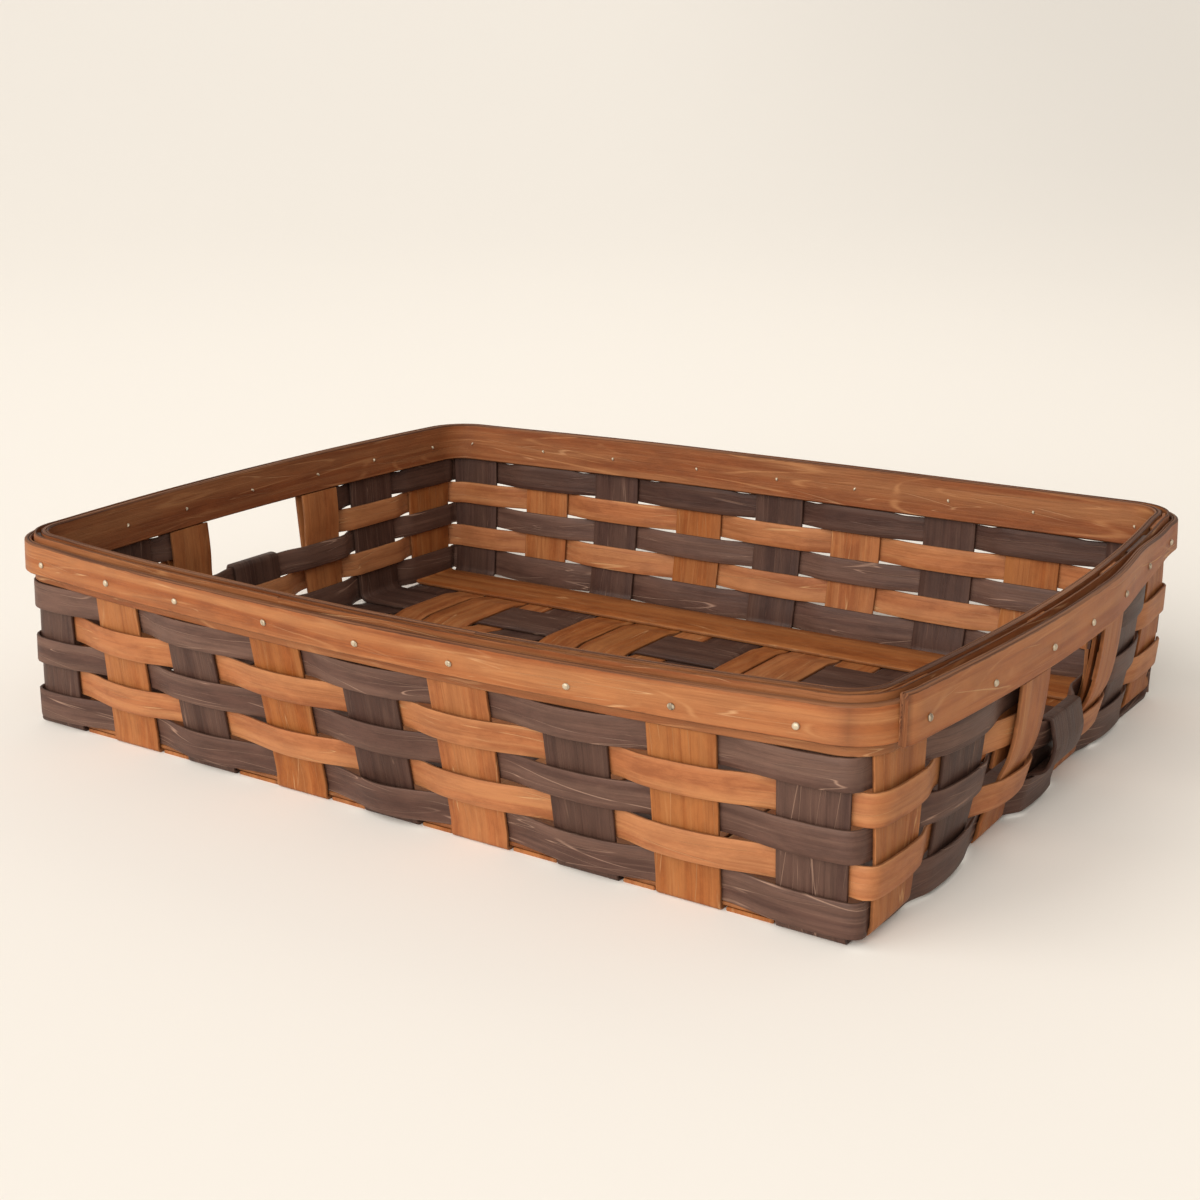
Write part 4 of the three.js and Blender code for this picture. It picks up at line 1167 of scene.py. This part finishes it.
class SPLINT_OT_hole_liners(bpy.types.Operator):
    """Lines the posts beside the hand holes, outside and inside, over the cut ends of the upper courses"""
    bl_idname = "splint_tray.hole_liners"
    bl_label = "Hand hole liners"
    seed, first_grain, grain_range, width_loss = 73, 200.0, 40, 0.0015

    # How far some liners lie beside their posts, and how much narrower some are on one edge
    shifts = {"right_front_outer": -0.0025, "right_front_inner": -0.0025, "left_back_outer": -0.0045}
    trims = {"right_back_inner": 0.010}

    def execute(self, context):
        layout = Layout()
        rng = np.random.default_rng(self.seed)
        ends = (("right", RIGHT, 1, layout.lengthwise_right), ("left", LEFT, -1, layout.lengthwise_left))
        liners = [(*end, *post, *face) for end in ends for post in zip(("front", "back"), layout.posts)
                  for face in (("outer", True), ("inner", False))]
        for side_name, side, direction, strips, post_name, stake, face_name, outside in liners:
            name = f"{side_name}_{post_name}_{face_name}"
            middle, width = strips[stake]
            section = splint_section(layout, width - self.width_loss, layout.sizes.stake_thickness)
            place = direction * middle + self.shifts.get(name, 0.0)
            path = self.path(layout, outside)
            rows = climb_rows(layout, side, place, section, path, self.trims.get(name, 0.0))
            tone = tone_of(rng, False, False)
            grain = self.first_grain + rng.uniform(0, self.grain_range)
            splint_piece("hole_liner_" + name, rows, section, False, tone, grain)
        return {"FINISHED"}

    @staticmethod
    def path(layout, outside):
        """A liner's way down a post and in behind a lower course."""
        s = layout.sizes
        step, turn, tuck = 0.0012, 0.004, 0.010
        sign = 1 if outside else -1
        sill = layout.sill
        crown = s.weaver_crown if outside else WeaverPath.inner_crown
        cover = layout.weaver_reach + crown + s.weaver_thickness / 2 + s.wall_gap + s.stake_thickness / 2
        top = (layout.backing_bottom if outside else layout.inner_bottom) - s.layer_gap
        turn_top = sill - turn if outside else layout.courses[4][0] - s.wall_gap
        turn_bottom = layout.courses[1][1] + s.wall_gap if outside else sill + s.wall_gap
        tuck_bottom = (layout.courses[1][1] if outside else sill) - tuck
        cover, tucked = sign * cover, sign * layout.tucked_reach
        points = [(cover, top), (cover, turn_top), (tucked, turn_bottom), (tucked, tuck_bottom)]
        return resampled(rounded_path(points), step)


class SPLINT_OT_rim(bpy.types.Operator):
    """Bends the inner, backing and outer bands round the rim"""
    bl_idname = "splint_tray.rim"
    bl_label = "Rim bands"
    seed = 91
    joint, inner_rounding, backing_rounding, outer_rounding = 0.0006, 0.0006, 0.0004, 0.0005
    # The outer band is toned lighter, and the inner and backing bands darker, as a painted sheen on the
    # outer band.
    inner_seam, inner_grain, inner_tone = 0.06, 300.0, -0.2
    backing_seam, backing_grain, backing_tone = -0.04, 340.0, -0.1
    outer_grain, outer_tone = 380.0, 0.12

    def execute(self, context):
        layout = Layout()
        s = layout.sizes
        rng = np.random.default_rng(self.seed)
        face, outer_face, top = layout.band_face, layout.outer_face, layout.rim_top
        inner = band_section(
            (-face - s.inner_band_thickness, -face), layout.inner_bottom, top, self.inner_rounding)
        ring_band(layout, "rim_inner_band", inner, self.inner_seam, rng, self.inner_grain, self.inner_tone)
        backing = band_section(
            (face, face + s.backing_band_thickness - self.joint), layout.backing_bottom - s.layer_gap,
            top - s.edge_rounding, self.backing_rounding)
        ring_band(layout, "rim_backing_band", backing, self.backing_seam, rng,
                  self.backing_grain, self.backing_tone)
        outer = band_section(
            (outer_face, outer_face + s.outer_band_thickness), layout.outer_bottom + s.outer_lift,
            top - s.outer_top_drop, self.outer_rounding, (s.outer_bevel_depth, s.outer_bevel_height))
        stations = outer_band_stations(layout)
        tones = outer_tones(stations, self.outer_tone)
        band_piece(layout, "rim_outer_band", stations, outer, rng, self.outer_grain, tones)
        return {"FINISHED"}


class SPLINT_OT_nails(bpy.types.Operator):
    """Drives a nail through the rim at each stake, with its tip bent over inside"""
    bl_idname = "splint_tray.nails"
    bl_label = "Rim nails"
    seed, grain, ring_step = 107, 400.0, 0.001

    # How far aside and how far down the front wall's nails sit, and its last two, counted from the end
    front_place = (0.0035, 0.0010)
    last_places = {2: (0.0005, 0.0015), 1: (-0.0040, 0.0015)}

    def execute(self, context):
        layout = Layout()
        rng = np.random.default_rng(self.seed)
        for side, side_name in enumerate(("front", "right", "back", "left")):
            for number, u, _, _ in layout.crossings(side):
                aside, drop = 0.0, 0.0
                if side == FRONT:
                    aside, drop = self.last_places.get(len(layout.crosswise) - number, self.front_place)
                rows = nail_rows(layout, side, u + aside, drop, rng)
                name = f"rim_nail_{side_name}_{number + 1}"
                plain = np.zeros(rows.shape[1])
                along = np.arange(len(rows)) * self.ring_step
                mesh = swept_mesh(name + "_steel", rows, along, plain, plain, 0.0, self.grain)
                nodes = [name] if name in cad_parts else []
                add_piece(name + "_steel", mesh, finish("nail_metal"), nodes)
        return {"FINISHED"}


class SPLINT_OT_stage(bpy.types.Operator):
    """Sets the pale sweep, the lights and the camera"""
    bl_idname = "splint_tray.stage"
    bl_label = "Stage"

    # Each soft lamp: its name, its strength's setting, then its tilt, its turn and its width in degrees
    lamps = (("Soft key", "key_strength", 62, 18, 50), ("Soft low", "low_strength", 78, -12, 40),
             ("Soft left", "left_strength", 50, -45, 45))

    def execute(self, context):
        settings = context.scene.splint_tray_stage
        colours = context.scene.splint_tray_colours
        self.sweep(context, colours)
        self.world(context, settings, colours)
        for name, strength, *degrees in self.lamps:
            self.sun(context, name, getattr(settings, strength), colours, *map(math.radians, degrees))
        self.camera(context, settings)
        context.scene.view_settings.view_transform = "Standard"
        return {"FINISHED"}

    def sweep(self, context, colours):
        """A floor that curves up into a backdrop."""
        front, turn, radius, height, half, steps = -14.0, 1.4, 6.0, 4.0, 14.0, 25
        profile = [(front, 0.0)]
        for a in np.linspace(0, math.pi / 2, steps):
            profile.append((turn + radius * math.sin(a), radius - radius * math.cos(a)))
        profile.append((turn + radius, radius + height))
        points = [(x, y, z) for y, z in profile for x in (-half, half)]
        faces = [(2 * k, 2 * k + 1, 2 * k + 3, 2 * k + 2) for k in range(len(profile) - 1)]
        mesh = bpy.data.meshes.new("sweep")
        mesh.from_pydata(points, [], faces)
        mesh.shade_smooth()
        mesh.materials.append(self.sweep_material(colours))
        floor = bpy.data.objects.new("sweep", mesh)
        context.scene.collection.objects.link(floor)

    @staticmethod
    def sweep_material(colours):
        """Pale coat with painted shade, to even out the upturned sweep, darker to the back and the right."""
        material, tree, shader = new_material("Pale sweep")
        place = tree.add("ShaderNodeTexCoord").outputs["Object"]
        normal = tree.add("ShaderNodeNewGeometry").outputs["Normal"]
        backwards, rightwards, upwards = (-0.561, 0.828, 0.0), (0.828, 0.561, 0.0), (0.0, 0.0, 1.0)
        depth, side, upright = (
            tree.dot(vector, way)
            for vector, way in ((place, backwards), (place, rightwards), (normal, upwards)))
        # Painted shade: the coat darkens towards the back and towards the right.
        back_shade = tree.ramp(depth, low=0.4, high=2.6, start=0.99, end=0.91)
        right_shade = tree.ramp(side, low=-0.1, high=1.3, start=0.0, end=0.12)
        shade = tree.math("SUBTRACT", back_shade, right_shade)
        level = tree.math("MULTIPLY", upright, upright)
        facing = tree.math("SQRT", tree.math("SUBTRACT", 1.0, level, clamp=True))
        even_share, floor_share, wall_share = 0.43, 0.57, 1.05
        received = tree.math("MULTIPLY_ADD", upright, floor_share, even_share)
        # Painted shade that cancels the extra light the lamps throw on the upturned part.
        shade = tree.math("DIVIDE", shade, tree.math("MULTIPLY_ADD", facing, wall_share, received))
        coat = tree.add("ShaderNodeVectorMath", {"operation": "SCALE"}, {
            0: tuple(colours.floor), "Scale": shade}).outputs[0]
        roughness, specular = 0.9, 0.1
        tree.connect(shader["Base Color"], coat)
        tree.connect(shader["Roughness"], roughness)
        tree.connect(shader["Specular IOR Level"], specular)
        return material

    @staticmethod
    def world(context, settings, colours):
        """Even light all round."""
        world = bpy.data.worlds.new("Even light")
        world.use_nodes = True
        background = world.node_tree.nodes["Background"]
        background.inputs["Color"].default_value = (*colours.lamp, 1.0)
        background.inputs["Strength"].default_value = settings.ambient_strength
        context.scene.world = world

    @staticmethod
    def sun(context, name, strength, colours, tilt, turn, width):
        """A distant lamp, tilted from straight down and turned about the upright."""
        light = bpy.data.lights.new(name, "SUN")
        light.energy = strength
        light.angle = width
        light.color = colours.lamp
        lamp = bpy.data.objects.new(name, light)
        lamp.rotation_euler = (tilt, 0, turn)
        context.scene.collection.objects.link(lamp)

    @staticmethod
    def camera(context, settings):
        """The photo's camera."""
        sensor_width, nearest = 36.0, 0.02
        data = bpy.data.cameras.new("Photo camera")
        data.sensor_width = sensor_width
        data.lens = settings.camera_lens
        data.clip_start = nearest
        camera = bpy.data.objects.new("Photo camera", data)
        camera.location = settings.camera_place
        camera.rotation_mode = "QUATERNION"
        level = Euler((math.pi / 2 + settings.camera_pitch, 0, -settings.camera_yaw)).to_quaternion()
        camera.rotation_quaternion = level @ Quaternion((0, 0, 1), settings.camera_roll)
        context.scene.collection.objects.link(camera)
        context.scene.camera = camera


STEPS = (
    SPLINT_OT_crosswise_stakes, SPLINT_OT_lengthwise_stakes, SPLINT_OT_floor_fillers, SPLINT_OT_weavers,
    SPLINT_OT_hole_liners, SPLINT_OT_rim, SPLINT_OT_nails, SPLINT_OT_stage)


class SPLINT_PT_tray(bpy.types.Panel):
    """Lists the steps that build the tray"""
    bl_idname = "SPLINT_PT_tray"
    bl_label = "Splint tray"
    bl_space_type = "VIEW_3D"
    bl_region_type = "UI"
    bl_category = "Splint tray"

    def draw(self, context):
        for step in STEPS:
            self.layout.operator(step.bl_idname)
        for name, group in SETTINGS.items():
            box = self.layout.box()
            settings = getattr(context.scene, name)
            for key in group.__annotations__:
                box.prop(settings, key)


def register():
    for kind in (*SETTINGS.values(), *STEPS, SPLINT_PT_tray):
        bpy.utils.register_class(kind)
    for name, group in SETTINGS.items():
        setattr(bpy.types.Scene, name, bpy.props.PointerProperty(type=group))


def unregister():
    for name in SETTINGS:
        delattr(bpy.types.Scene, name)
    for kind in (SPLINT_PT_tray, *reversed(STEPS), *SETTINGS.values()):
        bpy.utils.unregister_class(kind)


def main():
    register()
    for step in STEPS:
        area, name = step.bl_idname.split(".")
        getattr(getattr(bpy.ops, area), name)()


if __name__ == "__main__":
    main()
